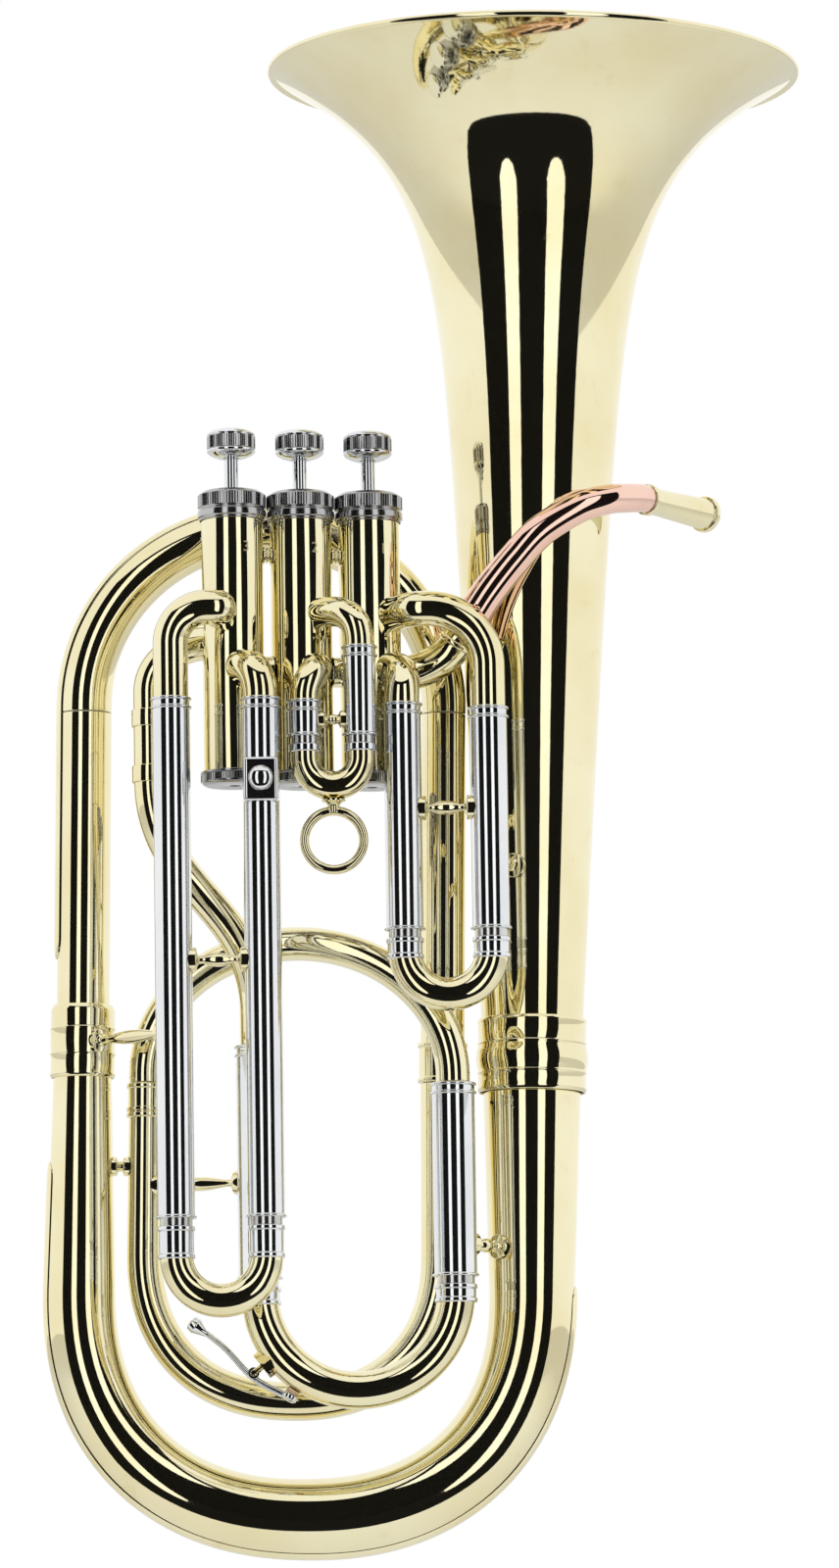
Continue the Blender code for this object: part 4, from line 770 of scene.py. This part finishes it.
def knurl(name, x, y, z, count, radius, height, ridge, body):
    """Ridges round a turned band, as a plain mesh in place."""
    seed = bpy.data.objects.new(name, bpy.data.meshes.new(name))
    bpy.context.collection.objects.link(seed)
    ring = seed.modifiers.new("knurls", "NODES")
    ring.node_group = KNURLS
    # The ridges take the darker nickel, whose colour is painted shade.
    values = {"Count": count, "Band Radius": radius * MM, "Ridge Height": height * MM,
              "Ridge Radius": ridge * MM, "Material": PAINTED_SHADE_NICKEL}
    for item in KNURLS.interface.items_tree:
        if item.in_out == "INPUT" and item.name in values:
            ring[item.identifier] = values[item.name]
    shape = bpy.data.meshes.new_from_object(seed.evaluated_get(bpy.context.evaluated_depsgraph_get()))
    seed.modifiers.remove(ring)
    shape.transform(Matrix.Translation((Vector((x, y, z)) - HOLD) * MM))
    shape.name = name
    seed.data = shape
    if not shape.materials:
        shape.materials.append(PAINTED_SHADE_NICKEL)
    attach(seed, body)


for number in (1, 2, 3):
    axis = valve_axis(number)
    x, y = axis.x, axis.y
    seat, lid = CASING_RADIUS + GAP, CASING_HIGH + GAP
    top = [(TOP_CAP_HIGH, 3.6), (TOP_CAP_HIGH, 11.6), (TOP_CAP_HIGH - 0.9, 12.9), (TOP_CAP_HIGH - 1.5, 13.55),
           (TOP_CAP_HIGH - 6.9, 13.55), (TOP_CAP_HIGH - 7.3, 13.2), (TOP_CAP_HIGH - 7.8, 13.2),
           (TOP_CAP_HIGH - 8.2, CAP_RADIUS), (TOP_CAP_LOW + 1.4, CAP_RADIUS), (TOP_CAP_LOW + 0.9, 13.5),
           (TOP_CAP_LOW, 13.3), (TOP_CAP_LOW, seat), (lid, seat), (lid, 3.6)]
    bm = bmesh.new()
    swept(bm, upright(x, y), eased(top, 0.25), 64)
    piece("top_cap_turned_%d" % number, bm, PAINTED_SHADE_NICKEL, "horn", ["top_cap_%d" % number])
    knurl("top_cap_knurl_%d" % number, x, y, TOP_CAP_HIGH - 4.2, 88, 13.5, 5.0, 0.42, "horn")

    inside = BOTTOM_CAP_LOW + 1.6
    bottom = [(inside, 2.2), (inside, seat), (BOTTOM_CAP_HIGH, seat), (BOTTOM_CAP_HIGH, CAP_RADIUS),
              (BOTTOM_CAP_HIGH - 0.9, CAP_RADIUS), (BOTTOM_CAP_HIGH - 1.2, 13.5),
              (BOTTOM_CAP_LOW + 1.4, 13.5), (BOTTOM_CAP_LOW + 0.7, 13.2), (BOTTOM_CAP_LOW, 12.0),
              (BOTTOM_CAP_LOW, 2.2)]
    bm = bmesh.new()
    swept(bm, upright(x, y), eased(bottom, 0.25), 64)
    piece("bottom_cap_turned_%d" % number, bm, PAINTED_SHADE_NICKEL, "horn",
          ["bottom_cap_%d" % number])
    knurl("bottom_cap_knurl_%d" % number, x, y, BOTTOM_CAP_LOW + 2.9, 88, 13.45, 2.8, 0.42, "horn")

    roof = BUTTON_LOW + 4.0
    button = [(BUTTON_HIGH - 0.3, 0.0), (BUTTON_HIGH - 0.35, 3.0), (BUTTON_HIGH - 0.7, 6.0),
              (BUTTON_HIGH - 1.4, 8.2), (BUTTON_HIGH - 2.2, 9.5), (BUTTON_HIGH - 3.0, BUTTON_RADIUS - 0.1),
              (BUTTON_HIGH - 3.5, 9.6), (BUTTON_HIGH - 8.9, 9.6), (BUTTON_HIGH - 9.3, BUTTON_RADIUS),
              (BUTTON_HIGH - 10.1, BUTTON_RADIUS - 0.1), (BUTTON_HIGH - 11.2, 8.9),
              (BUTTON_HIGH - 12.1, 7.0), (BUTTON_LOW, 4.9), (BUTTON_LOW, 3.3), (roof, 3.3), (roof, 0.0)]
    bm = bmesh.new()
    swept(bm, upright(x, y), eased(button, 0.3, 3, False), 64, False)
    body = "valve_%d" % number
    piece("button_turned_%d" % number, bm, NICKEL, body, ["finger_button_%d" % number])
    knurl("button_knurl_%d" % number, x, y, BUTTON_HIGH - 6.2, 80, 9.55, 5.0, 0.35, body)

# Valve slides: on each, two brass crooks soldered to the casing run into nickel sleeves, and the
# moving bow rides in them on satin nickel inner tubes, with a nickel ferrule at the foot of each leg.
SATIN = metal("satin_slide_tube", (0.76, 0.76, 0.74), (0.66, 0.66, 0.64), (0.42, 0.40, 0.36), 0.14, 0.28,
              0.2, 500.0, 0.03)
SLEEVE, SECOND_SLEEVE = 7.6, 6.6
SLIDES = {
    1: {"y": -16.0, "left": (40.4, 344.0), "right": (75.4, 342.0), "end": 251.0,
        "ferrule": 239.2, "bow": 242.4, "sleeve": SLEEVE, "high": "right", "low": "left"},
    2: {"y": -21.5, "left": (1.0, 345.0), "right": (23.5, 367.0), "end": 330.0,
        "ferrule": 323.6, "bow": 321.0, "sleeve": SECOND_SLEEVE, "high": "right", "low": "left"},
    3: {"y": -27.0, "left": (-53.0, 346.0), "right": (-16.8, 345.5), "end": 134.5,
        "ferrule": 118.1, "bow": 119.5, "sleeve": SLEEVE, "high": "left", "low": "right"},
}


def inner_radius(sleeve):
    return sleeve - SLEEVE_WALL - SLIDE_PLAY


def bezier(p0, d0, p1, d1, steps=36):
    """Smooth path from p0 heading along d0 to p1 heading along d1."""
    a, b = Vector(p0), Vector(p0) + Vector(d0)
    c, d = Vector(p1) - Vector(d1), Vector(p1)
    points = []
    for k in range(steps + 1):
        t = k / steps
        u = 1 - t
        points.append(a * u ** 3 + b * 3 * u * u * t + c * 3 * u * t * t + d * t ** 3)
    return points


def quarter(centre, start, end, steps=24):
    turn = math.pi / 2 / steps
    return [Vector(centre) + Vector(start) * math.cos(turn * k) + Vector(end) * math.sin(turn * k)
            for k in range(steps + 1)]


def high_crook(number, x, y, top):
    start = port_point(number, "high", CASING_RADIUS - 2)
    out = heading(PORTS[number]["high"][0])
    if number == 2:
        return bezier(start, out * 15, (x, y, top + 1), (0, 0, -12))
    side = -1 if number == 3 else 1
    bend = 15.0 if number == 3 else 24.0
    first = bezier(start, out * 9, (x - side * bend, y, HIGH_PORT), (side * 9, 0, 0), 24)
    return first + quarter((x - side * bend, y, HIGH_PORT - bend), (0, 0, bend), (side * bend, 0, 0))[1:]


def saddled(bm, number):
    """The crook with its end cut to the round of its casing."""
    axis = valve_axis(number)
    cutter = bmesh.new()
    rod(cutter, (axis.x, axis.y, CASING_LOW - 4), (axis.x, axis.y, CASING_HIGH + 4), CASING_RADIUS + 0.02, 96)
    return carved(bm, cutter)


for number in (1, 2, 3):
    slide = SLIDES[number]
    sleeve, y = slide["sleeve"], slide["y"]
    crook = inner_radius(sleeve) + SLEEVE_WALL
    body = "slide_%d" % number
    for port in ("high", "low"):
        x, top = slide[slide[port]]
        node = "slide%d_%s_leg" % (number, port)
        if port == "high":
            run = high_crook(number, x, y, top)
        else:
            run = bezier(port_point(number, "low", CASING_RADIUS - 2), heading(PORTS[number]["low"][0]) * 10,
                         (x, y, top + 1), (0, 0, -9))
        run = run + [Vector((x, y, top - 1.0))]
        total = lengths(run)[-1]
        collar = [(0.0, crook), (total, crook)]
        bm = bmesh.new()
        swept(bm, run, tube_outline(collar, 1.0))
        piece(node + "_crook", saddled(bm, number), BRASS, "horn", [node])
        bm = bmesh.new()
        swept(bm, upright(x, y), eased(sleeve_outline(top, slide["end"], sleeve, crook - 1.0), 0.25))
        piece(node + "_sleeve", bm, NICKEL, "horn", [node])

TUNING_BOW_Z, TUNING_BOW_RADIUS = 106.6, 7.7
moving = [("slide%d" % n, "slide_%d" % n, SLIDES[n]["left"][0], SLIDES[n]["right"][0], SLIDES[n]["y"],
           min(SLIDES[n]["left"][1], SLIDES[n]["right"][1]), SLIDES[n]["end"], SLIDES[n]["ferrule"],
           SLIDES[n]["bow"], SLIDES[n]["sleeve"], inner_radius(SLIDES[n]["sleeve"]) + 0.2, "slide%d_bow" % n)
          for n in (1, 2, 3)]
moving.append(("tuning", "tuning", TUNING_LEFT, TUNING_RIGHT, TUNING_Y, TUNING_RIGHT_TOP - 2.0,
               TUNING_SLEEVE_END, 101.7, TUNING_BOW_Z, TUNING_SLEEVE, TUNING_BOW_RADIUS, "tuning_slide"))
for tag, body, x_left, x_right, y, sleeve_top, end, ferrule_end, bow_z, sleeve, bow_radius, node in moving:
    inner = inner_radius(sleeve)
    bore = inner - SLEEVE_WALL
    top = sleeve_top - 3.0
    run = [Vector((x_right, y, ferrule_end + 1.5))] + bow(x_right, x_left, bow_z, y, y, 2.0, 64)
    run.append(Vector((x_left, y, ferrule_end + 1.5)))
    if bow_z > ferrule_end:
        run = bow(x_right, x_left, bow_z, y, y, 2.0, 64)
    total = lengths(run)[-1]
    bm = bmesh.new()
    swept(bm, run, eased([(0.0, bow_radius), (total, bow_radius), (total, bore), (0.0, bore)], 0.2))
    piece(tag + "_moving_bow", bm, BRASS, body, [node])
    for side, x in (("left", x_left), ("right", x_right)):
        bm = bmesh.new()
        tube = [(top, bore), (top, inner), (end - 5.0, inner), (end - 5.0, bore)]
        swept(bm, upright(x, y), eased(tube, 0.2))
        piece("%s_inner_tube_%s" % (tag, side), bm, SATIN, body, [node])
        high, low = end - 3.0, ferrule_end
        band = [(high, inner - 0.2), (high, sleeve - 0.5), (high - 0.4, sleeve), (high - 1.8, sleeve),
                (high - 2.2, sleeve - 0.5), (low + 2.2, sleeve - 0.5), (low + 1.8, sleeve),
                (low + 0.5, sleeve), (low, sleeve - 0.5), (low, inner - 0.2)]
        bm = bmesh.new()
        swept(bm, upright(x, y), eased(band, 0.25))
        piece("%s_ferrule_%s" % (tag, side), bm, NICKEL, body, [node])

# Exit tube: the S-bent brass tube that leaves valve 3 on its left, drops behind the third slide
# and runs into the left sleeve of the main tuning slide.
exit_start = port_point(3, "out", CASING_RADIUS - 2)
exit_run = bezier(exit_start, heading(PORTS[3]["out"][0]) * 13, (-62.2, -0.5, 352.0), (0, 0, -12))
exit_run += bezier((-62.2, -0.5, 316.0), (0, 0, -46), (TUNING_LEFT, TUNING_Y, 221.0), (0, 0, -46), 48)
exit_run += [Vector((TUNING_LEFT, TUNING_Y, TUNING_LEFT_TOP + GAP))]
bm = bmesh.new()
swept(bm, exit_run, tube_outline(on(exit_run, [(0.0, RETURN_RADIUS), (None, RETURN_RADIUS)])))
piece("exit_tube_bent", saddled(bm, 3), BRASS, "horn", ["exit_tube"])
for name, height in (("upper", 345.0), ("lower", 322.0)):
    bm = bmesh.new()
    band = [(height, 7.0), (height, 7.7), (height - 7.0, 7.7), (height - 7.0, 7.0)]
    swept(bm, upright(-62.2, -0.5), eased(band, 0.35))
    piece("exit_tube_band_" + name, bm, BRASS, "horn")

# Mouthpiece receiver and leadpipe: the receiver is a turned brass socket with an end ring. The
# leadpipe is drawn from a copper-rich brass, tapered and bent, and ends in a ferrule and crook.
COPPER = metal("copper_brass", (0.95, 0.66, 0.55), (0.90, 0.56, 0.43), (0.60, 0.30, 0.18), 0.04, 0.11, 0.15,
               coat=0.25)
toward = Vector((0.63, 0.775, -0.03)).normalized()
spots = [(141.5, 11.5, 431.5), (134.0, 4.2, 430.8), (126.0, -0.8, 429.5), (114.5, -3.6, 426.0),
         (98.6, -4.2, 416.5), (87.0, -2.4, 404.5), (76.3, 0.2, 391.4), (67.6, 3.4, 378.5)]


def smoothed(points, per=10):
    """A curve that passes through every point."""
    spots = [Vector(p) for p in points]
    ends = [spots[0] * 2 - spots[1]] + spots + [spots[-1] * 2 - spots[-2]]
    run = []
    for i in range(1, len(ends) - 2):
        a, b, c, d = ends[i - 1:i + 3]
        for k in range(per):
            t = k / per
            run.append((b * 2 + (c - a) * t + (a * 2 - b * 5 + c * 4 - d) * t * t
                        + (b * 3 - a - c * 3 + d) * t ** 3) * 0.5)
    return run + [spots[-1]]


first = Vector(spots[0])
socket_start = first + toward * GAP
socket_run = [socket_start, socket_start + toward * 42.0]
socket = [(0.0, 4.3), (0.0, 6.2), (0.4, 6.5), (2.6, 6.5), (3.0, 6.2), (3.0, 5.6), (39.0, 6.4), (39.0, 7.1),
          (39.5, 7.5), (41.5, 7.5), (42.0, 7.1), (42.0, 4.9)]
bm = bmesh.new()
swept(bm, socket_run, eased(socket, 0.3), 64)
piece("receiver_socket", bm, BRASS, "horn", ["receiver"])
pipe_run = smoothed([first, first - toward * 3.0] + spots[1:])
total = lengths(pipe_run)[-1]
bm = bmesh.new()
swept(bm, pipe_run, tube_outline([(0.0, 5.8), (total, 7.4)]), 64)
piece("leadpipe_tapered", bm, COPPER, "horn", ["leadpipe"])
down = (Vector(spots[-1]) - Vector(spots[-2])).normalized()
top = Vector(spots[-1]) + down * GAP
neck = top + down * 9.0
into = -heading(PORTS[1]["in"][0]) * 11
crook_run = [top] + bezier(neck, down * 7, port_point(1, "in", CASING_RADIUS - 2), into)
total = lengths(crook_run)[-1]
shape = [(0.0, 6.3), (0.0, 7.7), (0.5, 8.2), (1.7, 8.2), (2.1, 7.8), (6.9, 7.8), (7.3, 8.2), (8.6, 8.2),
         (9.0, 7.7), (9.0, 7.2), (total, 7.2), (total, 6.3)]
bm = bmesh.new()
swept(bm, crook_run, eased(shape, 0.3))
piece("lead_crook_bent", saddled(bm, 1), BRASS, "horn", ["lead_crook"])

# Braces: turned brass struts with a barrel in the middle and a thin round flange at each end,
# saddled to the tube that it is soldered to. They hold the slides and the bows at their distance.
UP = Vector((0, 0, 1))
TILTED = leaned((0, 0, 1))


def brace(name, p, q, p_radius, q_radius, p_line, q_line, flange=5.0):
    p, q = Vector(p), Vector(q)
    total = (q - p).length
    a, b = p_radius + 1.4, total - q_radius - 1.4
    mid, span = (a + b) / 2, b - a
    swell = 2.9 if span > 9 else 2.2
    outline = [(p_radius * 0.5, 0.0), (p_radius * 0.5, flange), (a, flange), (a + 0.25, flange - 0.5),
               (a + 0.5, 2.6), (a + 1.3, 1.6), (a + 1.3 + span * 0.08, 1.5)]
    for k in range(9):
        share = k / 8
        outline.append((mid + span * 0.68 * (share - 0.5), 1.5 + (swell - 1.5) * math.sin(math.pi * share)))
    outline += [(b - 1.3 - span * 0.08, 1.5), (b - 1.3, 1.6), (b - 0.5, 2.6), (b - 0.25, flange - 0.5),
                (b, flange), (total - q_radius * 0.5, flange), (total - q_radius * 0.5, 0.0)]
    outline = [point for i, point in enumerate(outline) if i == 0 or point[0] >= outline[i - 1][0] - 1e-6]
    bm = bmesh.new()
    swept(bm, [p, q], eased(outline, 0.2, 3, False), 40, False)
    for point, line, radius in ((p, p_line, p_radius), (q, q_line, q_radius)):
        cutter = bmesh.new()
        rod(cutter, point - line * 20, point + line * 20, radius + 0.02, 64)
        bm = carved(bm, cutter)
    piece(name + "_turned", bm, BRASS, "horn", [name])


z = 210.0
brace("brace_branch_slide3", leaned((BRANCH_X, LOOP_Y, z + 1)), (SLIDES[3]["left"][0], SLIDES[3]["y"], z),
      13.2, SLEEVE, TILTED, UP)
z = 160.0
brace("brace_branch_return", leaned((BRANCH_X, LOOP_Y, z)), leaned((RETURN_X, LOOP_Y, z)), 12.9, 7.2,
      TILTED, TILTED, 4.0)
z = 152.0
brace("brace_return_tuning", leaned((RETURN_X, LOOP_Y, z)), (TUNING_LEFT, TUNING_Y, z), 7.2, TUNING_SLEEVE,
      TILTED, UP)
z = 126.0
brace("brace_tuning_bow", (TUNING_RIGHT, TUNING_Y, z), leaned((BELL_X, BELL_Y, z + 1)), TUNING_SLEEVE, 18.4,
      UP, TILTED)
z = 281.0
brace("brace_slide1_bell", (SLIDES[1]["right"][0], SLIDES[1]["y"], z), leaned((BELL_X, BELL_Y, z + 1)),
      SLEEVE, bell_radius(RIM_Z - z - 10.0), UP, TILTED)
for number, z in ((1, 301.0), (2, 337.0), (3, 239.0)):
    slide = SLIDES[number]
    brace("brace_slide%d_legs" % number, (slide["left"][0], slide["y"], z),
          (slide["right"][0], slide["y"], z), slide["sleeve"], slide["sleeve"], UP, UP,
          3.6 if number == 2 else 5.0)

# Finger ring: a plain ring bent from round brass wire and brazed to a post under the second
# slide's bow. The player's finger pulls the slide with it.
slide = SLIDES[2]
ring_x, ring_z = (slide["left"][0] + slide["right"][0]) / 2, 287.6
bm = bmesh.new()
rings = []
for k in range(64):
    turn = math.tau * k / 64
    out = Vector((math.cos(turn), 0, math.sin(turn)))
    hub = Vector((ring_x, slide["y"], ring_z))
    rings.append([bm.verts.new(hub + out * (12.0 + 1.95 * math.cos(a)) + Vector((0, 1.95 * math.sin(a), 0)))
                  for a in (math.tau * j / 24 for j in range(24))])
for a, b in zip(rings, rings[1:] + rings[:1]):
    for k in range(24):
        n = (k + 1) % 24
        bm.faces.new((a[k], a[n], b[n], b[k]))
reach = (slide["right"][0] - slide["left"][0]) / 2
under = slide["bow"] - reach - inner_radius(slide["sleeve"]) - 0.2
post = bmesh.new()
swept(post, upright(ring_x, slide["y"]), [(ring_z + 11.2, 0.0), (ring_z + 11.2, 2.2), (ring_z + 12.6, 2.3),
                                          (under - 2.4, 2.3), (under - 1.2, 3.2), (under - 0.5, 4.9),
                                          (under + 0.2, 5.0), (under + 0.2, 0.0)], 40, False)
bm = carved(bm, post, "UNION")
piece("finger_ring_wire", bm, BRASS, "slide_2", ["slide2_finger_ring"])

# Lyre holder: a small plated block saddled on the third slide's right sleeve, with a screw that
# clamps a music lyre. The screw's head is turned to a ball, and both are nickel plated.
x, y = SLIDES[3]["right"][0], SLIDES[3]["y"]
low, high = 302.0, 320.0
front = y - SLEEVE - 3.2
bm = bmesh.new()
bmesh.ops.create_cube(bm, size=1.0)
bmesh.ops.scale(bm, vec=(2 * SLEEVE - 1.0, y - front, high - low), verts=bm.verts)
bmesh.ops.translate(bm, vec=(x, (y + front) / 2 - 1.0, (low + high) / 2), verts=bm.verts)
bmesh.ops.bevel(bm, geom=list(bm.edges), offset=1.6, segments=5, affect="EDGES", profile=0.5)
for ends, radius in ((((x, y, low - 4), (x, y, high + 4)), SLEEVE + 0.05),
                     (((x, front - 4, (low + high) / 2), (x, y, (low + high) / 2)), 1.8)):
    cutter = bmesh.new()
    rod(cutter, ends[0], ends[1], radius, 64)
    bm = carved(bm, cutter)
piece("lyre_block", bm, NICKEL, "horn", ["lyre_holder"])
face = front - 1.0 - GAP
back = y - SLEEVE - 2 * GAP
screw_run = [Vector((x, back, (low + high) / 2)), Vector((x, face - 5.0, (low + high) / 2))]
shaft = back - face
screw = [(0.0, 0.0), (0.0, 1.5), (shaft, 1.5), (shaft, 3.0), (shaft + 0.6, 4.2), (shaft + 1.4, 4.8),
         (shaft + 2.3, 5.0), (shaft + 3.2, 4.7), (shaft + 4.0, 3.9), (shaft + 4.6, 2.7),
         (shaft + 4.9, 1.4), (shaft + 5.0, 0.0)]
bm = bmesh.new()
swept(bm, screw_run, eased(screw, 0.2, 3, False), 48, False)
piece("lyre_screw_turned", bm, NICKEL, "lyre_clamp", ["lyre_screw"])

# Water key: a nickel lever on a pin through a brass saddle on the tuning slide's bow. A wire
# spring holds its cork against the drain hole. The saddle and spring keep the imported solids.
CORK = metal("cork", (0.62, 0.43, 0.26), (0.50, 0.32, 0.18), (0.25, 0.14, 0.08), 0.8, 0.95, 0.7, 900.0, 0.5,
             0.0, 0.0)
refinish("water_key_cork", CORK)
refinish("water_key_spring", STEEL)
refinish("water_key_saddle", BRASS)
centre = Vector(((TUNING_LEFT + TUNING_RIGHT) / 2, TUNING_Y, TUNING_BOW_Z))
reach = (TUNING_RIGHT - TUNING_LEFT) / 2


def outside(degrees, distance):
    turn = math.radians(degrees)
    return centre + Vector((math.cos(turn), 0, math.sin(turn))) * (reach + distance)


pivot = outside(217, TUNING_BOW_RADIUS + 6.0)
cup = outside(236, TUNING_BOW_RADIUS + 3.4)
thumb = Vector((-47.5, TUNING_Y, 94.8))
across = Vector((0, 1, 0))
bm = bmesh.new()
hub = [(0.0, 1.2), (0.0, 2.4), (3.0, 2.4), (3.0, 1.2)]
swept(bm, [pivot - across * 1.5, pivot + across * 1.5], eased(hub, 0.2), 40)
arms = bmesh.new()
half_way = thumb.lerp(pivot, 0.5) + Vector((0.2, 0, 0.5))
arm_run = smoothed([thumb, half_way, pivot - Vector((0, 0, 2.0)), cup], 8)
total = lengths(arm_run)[-1]
swept(arms, arm_run, [(0.0, 0.0), (0.0, 1.2), (total * 0.5, 1.3), (total, 1.5), (total, 0.0)], 24, False)
bm = carved(bm, arms, "UNION")
out = (cup - centre).normalized()
cap = bmesh.new()
cup_shape = [(0.0, 0.0), (0.0, 3.4), (1.9, 3.3), (2.8, 2.2), (3.2, 0.0)]
swept(cap, [cup - out * 1.4, cup + out * 1.8], eased(cup_shape, 0.25, 3, False), 40, False)
bm = carved(bm, cap, "UNION")
along = (thumb - pivot).normalized()
touch = bmesh.new()
touch_shape = [(0.0, 0.0), (0.0, 1.0), (3.0, 2.2), (5.5, 3.4), (8.0, 3.0), (9.0, 0.0)]
swept(touch, [thumb - along * 7, thumb + along * 2], eased(touch_shape, 0.3, 3, False), 40, False)
bm = carved(bm, touch, "UNION")
piece("water_key_arm", bm, NICKEL, "water_key", ["water_key_lever"])

# Floor and studio: the horn is held up well over a pale floor, in a white surround. A wide dark
# screen with two lit strips runs over the floor and stands up round the camera. Only reflections see it.
FLOOR_Z = -0.74
bpy.ops.mesh.primitive_plane_add(size=40.0, location=(0, 0, FLOOR_Z))
floor = bpy.context.object
floor.name = "studio_floor"
pale = bpy.data.materials.new("pale_floor")
pale.use_nodes = True
tree = pale.node_tree
shader = tree.nodes["Principled BSDF"]
shader.inputs["Base Color"].default_value = (0.88, 0.88, 0.87, 1.0)
shader.inputs["Roughness"].default_value = 0.8
floor.data.materials.append(pale)

world = bpy.data.worlds.new("studio")
bpy.context.scene.world = world
world.use_nodes = True
tree = world.node_tree
background = tree.nodes["Background"]
background.inputs["Color"].default_value = (1.0, 1.0, 1.0, 1.0)
rays = tree.nodes.new("ShaderNodeLightPath")
either = tree.nodes.new("ShaderNodeMath")
either.operation = "MAXIMUM"
strength = tree.nodes.new("ShaderNodeMapRange")
strength.inputs["To Min"].default_value = 0.75
strength.inputs["To Max"].default_value = 1.0
tree.links.new(rays.outputs["Is Camera Ray"], either.inputs[0])
tree.links.new(rays.outputs["Is Glossy Ray"], either.inputs[1])
tree.links.new(either.outputs[0], strength.inputs["Value"])
tree.links.new(strength.outputs["Result"], background.inputs["Strength"])


def card(name, bm, brightness):
    """A dark or lit card that only reflections see."""
    mesh = bpy.data.meshes.new(name)
    bm.to_mesh(mesh)
    bm.free()
    obj = bpy.data.objects.new(name, mesh)
    bpy.context.collection.objects.link(obj)
    material = bpy.data.materials.new(name)
    material.use_nodes = True
    shader = material.node_tree.nodes["Principled BSDF"]
    shader.inputs["Base Color"].default_value = (0.01, 0.01, 0.01, 1.0)
    shader.inputs["Roughness"].default_value = 1.0
    shader.inputs["Specular IOR Level"].default_value = 0.0
    shader.inputs["Emission Color"].default_value = (1.0, 1.0, 1.0, 1.0)
    shader.inputs["Emission Strength"].default_value = brightness
    mesh.materials.append(material)
    obj.visible_camera = False
    obj.visible_diffuse = False
    obj.visible_shadow = False


def screen(name, angles, near, distance, lift, high, brightness):
    """A card that runs over the floor from near the horn and turns up in an arc round it."""
    bm = bmesh.new()
    start, end = angles
    count = max(4, int((end - start) / 3))
    columns = []
    for k in range(count + 1):
        share = 2.0 * k / count - 1.0
        turn = math.radians(start + (end - start) * k / count)
        foot = near + CARD_ROUND * (1.0 - math.sqrt(1.0 - share * share))
        level = FLOOR_Z + lift
        columns.append([bm.verts.new((SCREEN_X + reach * math.sin(turn), -reach * math.cos(turn), z))
                        for reach, z in ((foot, level), (distance, level), (distance, high))])
    for left, right in zip(columns, columns[1:]):
        for low, up in ((0, 1), (1, 2)):
            bm.faces.new((left[low], right[low], right[up], left[up]))
    card(name, bm, brightness)


SCREEN_X, CARD_ROUND = 0.12, 0.35
screen("dark_screen", (-62, 58), 0.5, 2.2, 0.005, 2.1, 0.0)
screen("left_strip", (-31, -15), 1.1, 2.1, 0.010, 1.6, 1.2)
screen("right_strip", (15, 32), 1.1, 2.1, 0.010, 1.6, 1.2)
for name, spot, power in (("left_box", (-1.5, -1.8, 1.3), 20.0), ("right_box", (1.9, -1.4, 0.9), 14.0)):
    lamp = bpy.data.lights.new(name, "AREA")
    lamp.energy = power
    lamp.size = 1.2
    box = bpy.data.objects.new(name, lamp)
    bpy.context.collection.objects.link(box)
    box.location = spot
    box.rotation_euler = (Vector((0.14, 0, 0)) - Vector(spot)).to_track_quat("-Z", "Y").to_euler()
    box.visible_glossy = False

# Camera: a long lens that looks up by eight degrees, with the photograph's slight roll.
TARGET = Vector((0.1379, -0.0305, 0.0215))
FORWARD = Vector((0.0021, 0.9903, 0.1392)).normalized()
DISTANCE = 3.3949
ROLL = math.radians(0.85)
FOCAL_PIXELS, IMAGE_HEIGHT, SENSOR = 8500.0, 1600.0, 36.0
right = FORWARD.cross(Vector((0, 0, 1))).normalized()
up = right.cross(FORWARD).normalized()
level = right * math.cos(ROLL) - up * math.sin(ROLL)
upward = up * math.cos(ROLL) + right * math.sin(ROLL)
lens = bpy.data.cameras.new("camera")
lens.sensor_fit = "VERTICAL"
lens.sensor_height = SENSOR
lens.lens = FOCAL_PIXELS / IMAGE_HEIGHT * SENSOR
lens.clip_end = 60.0
camera = bpy.data.objects.new("camera", lens)
bpy.context.collection.objects.link(camera)
turn = Matrix((level, upward, -FORWARD)).transposed().to_4x4()
camera.matrix_world = Matrix.Translation(TARGET - FORWARD * DISTANCE) @ turn
bpy.context.scene.camera = camera
bpy.context.scene.view_settings.view_transform = "Standard"
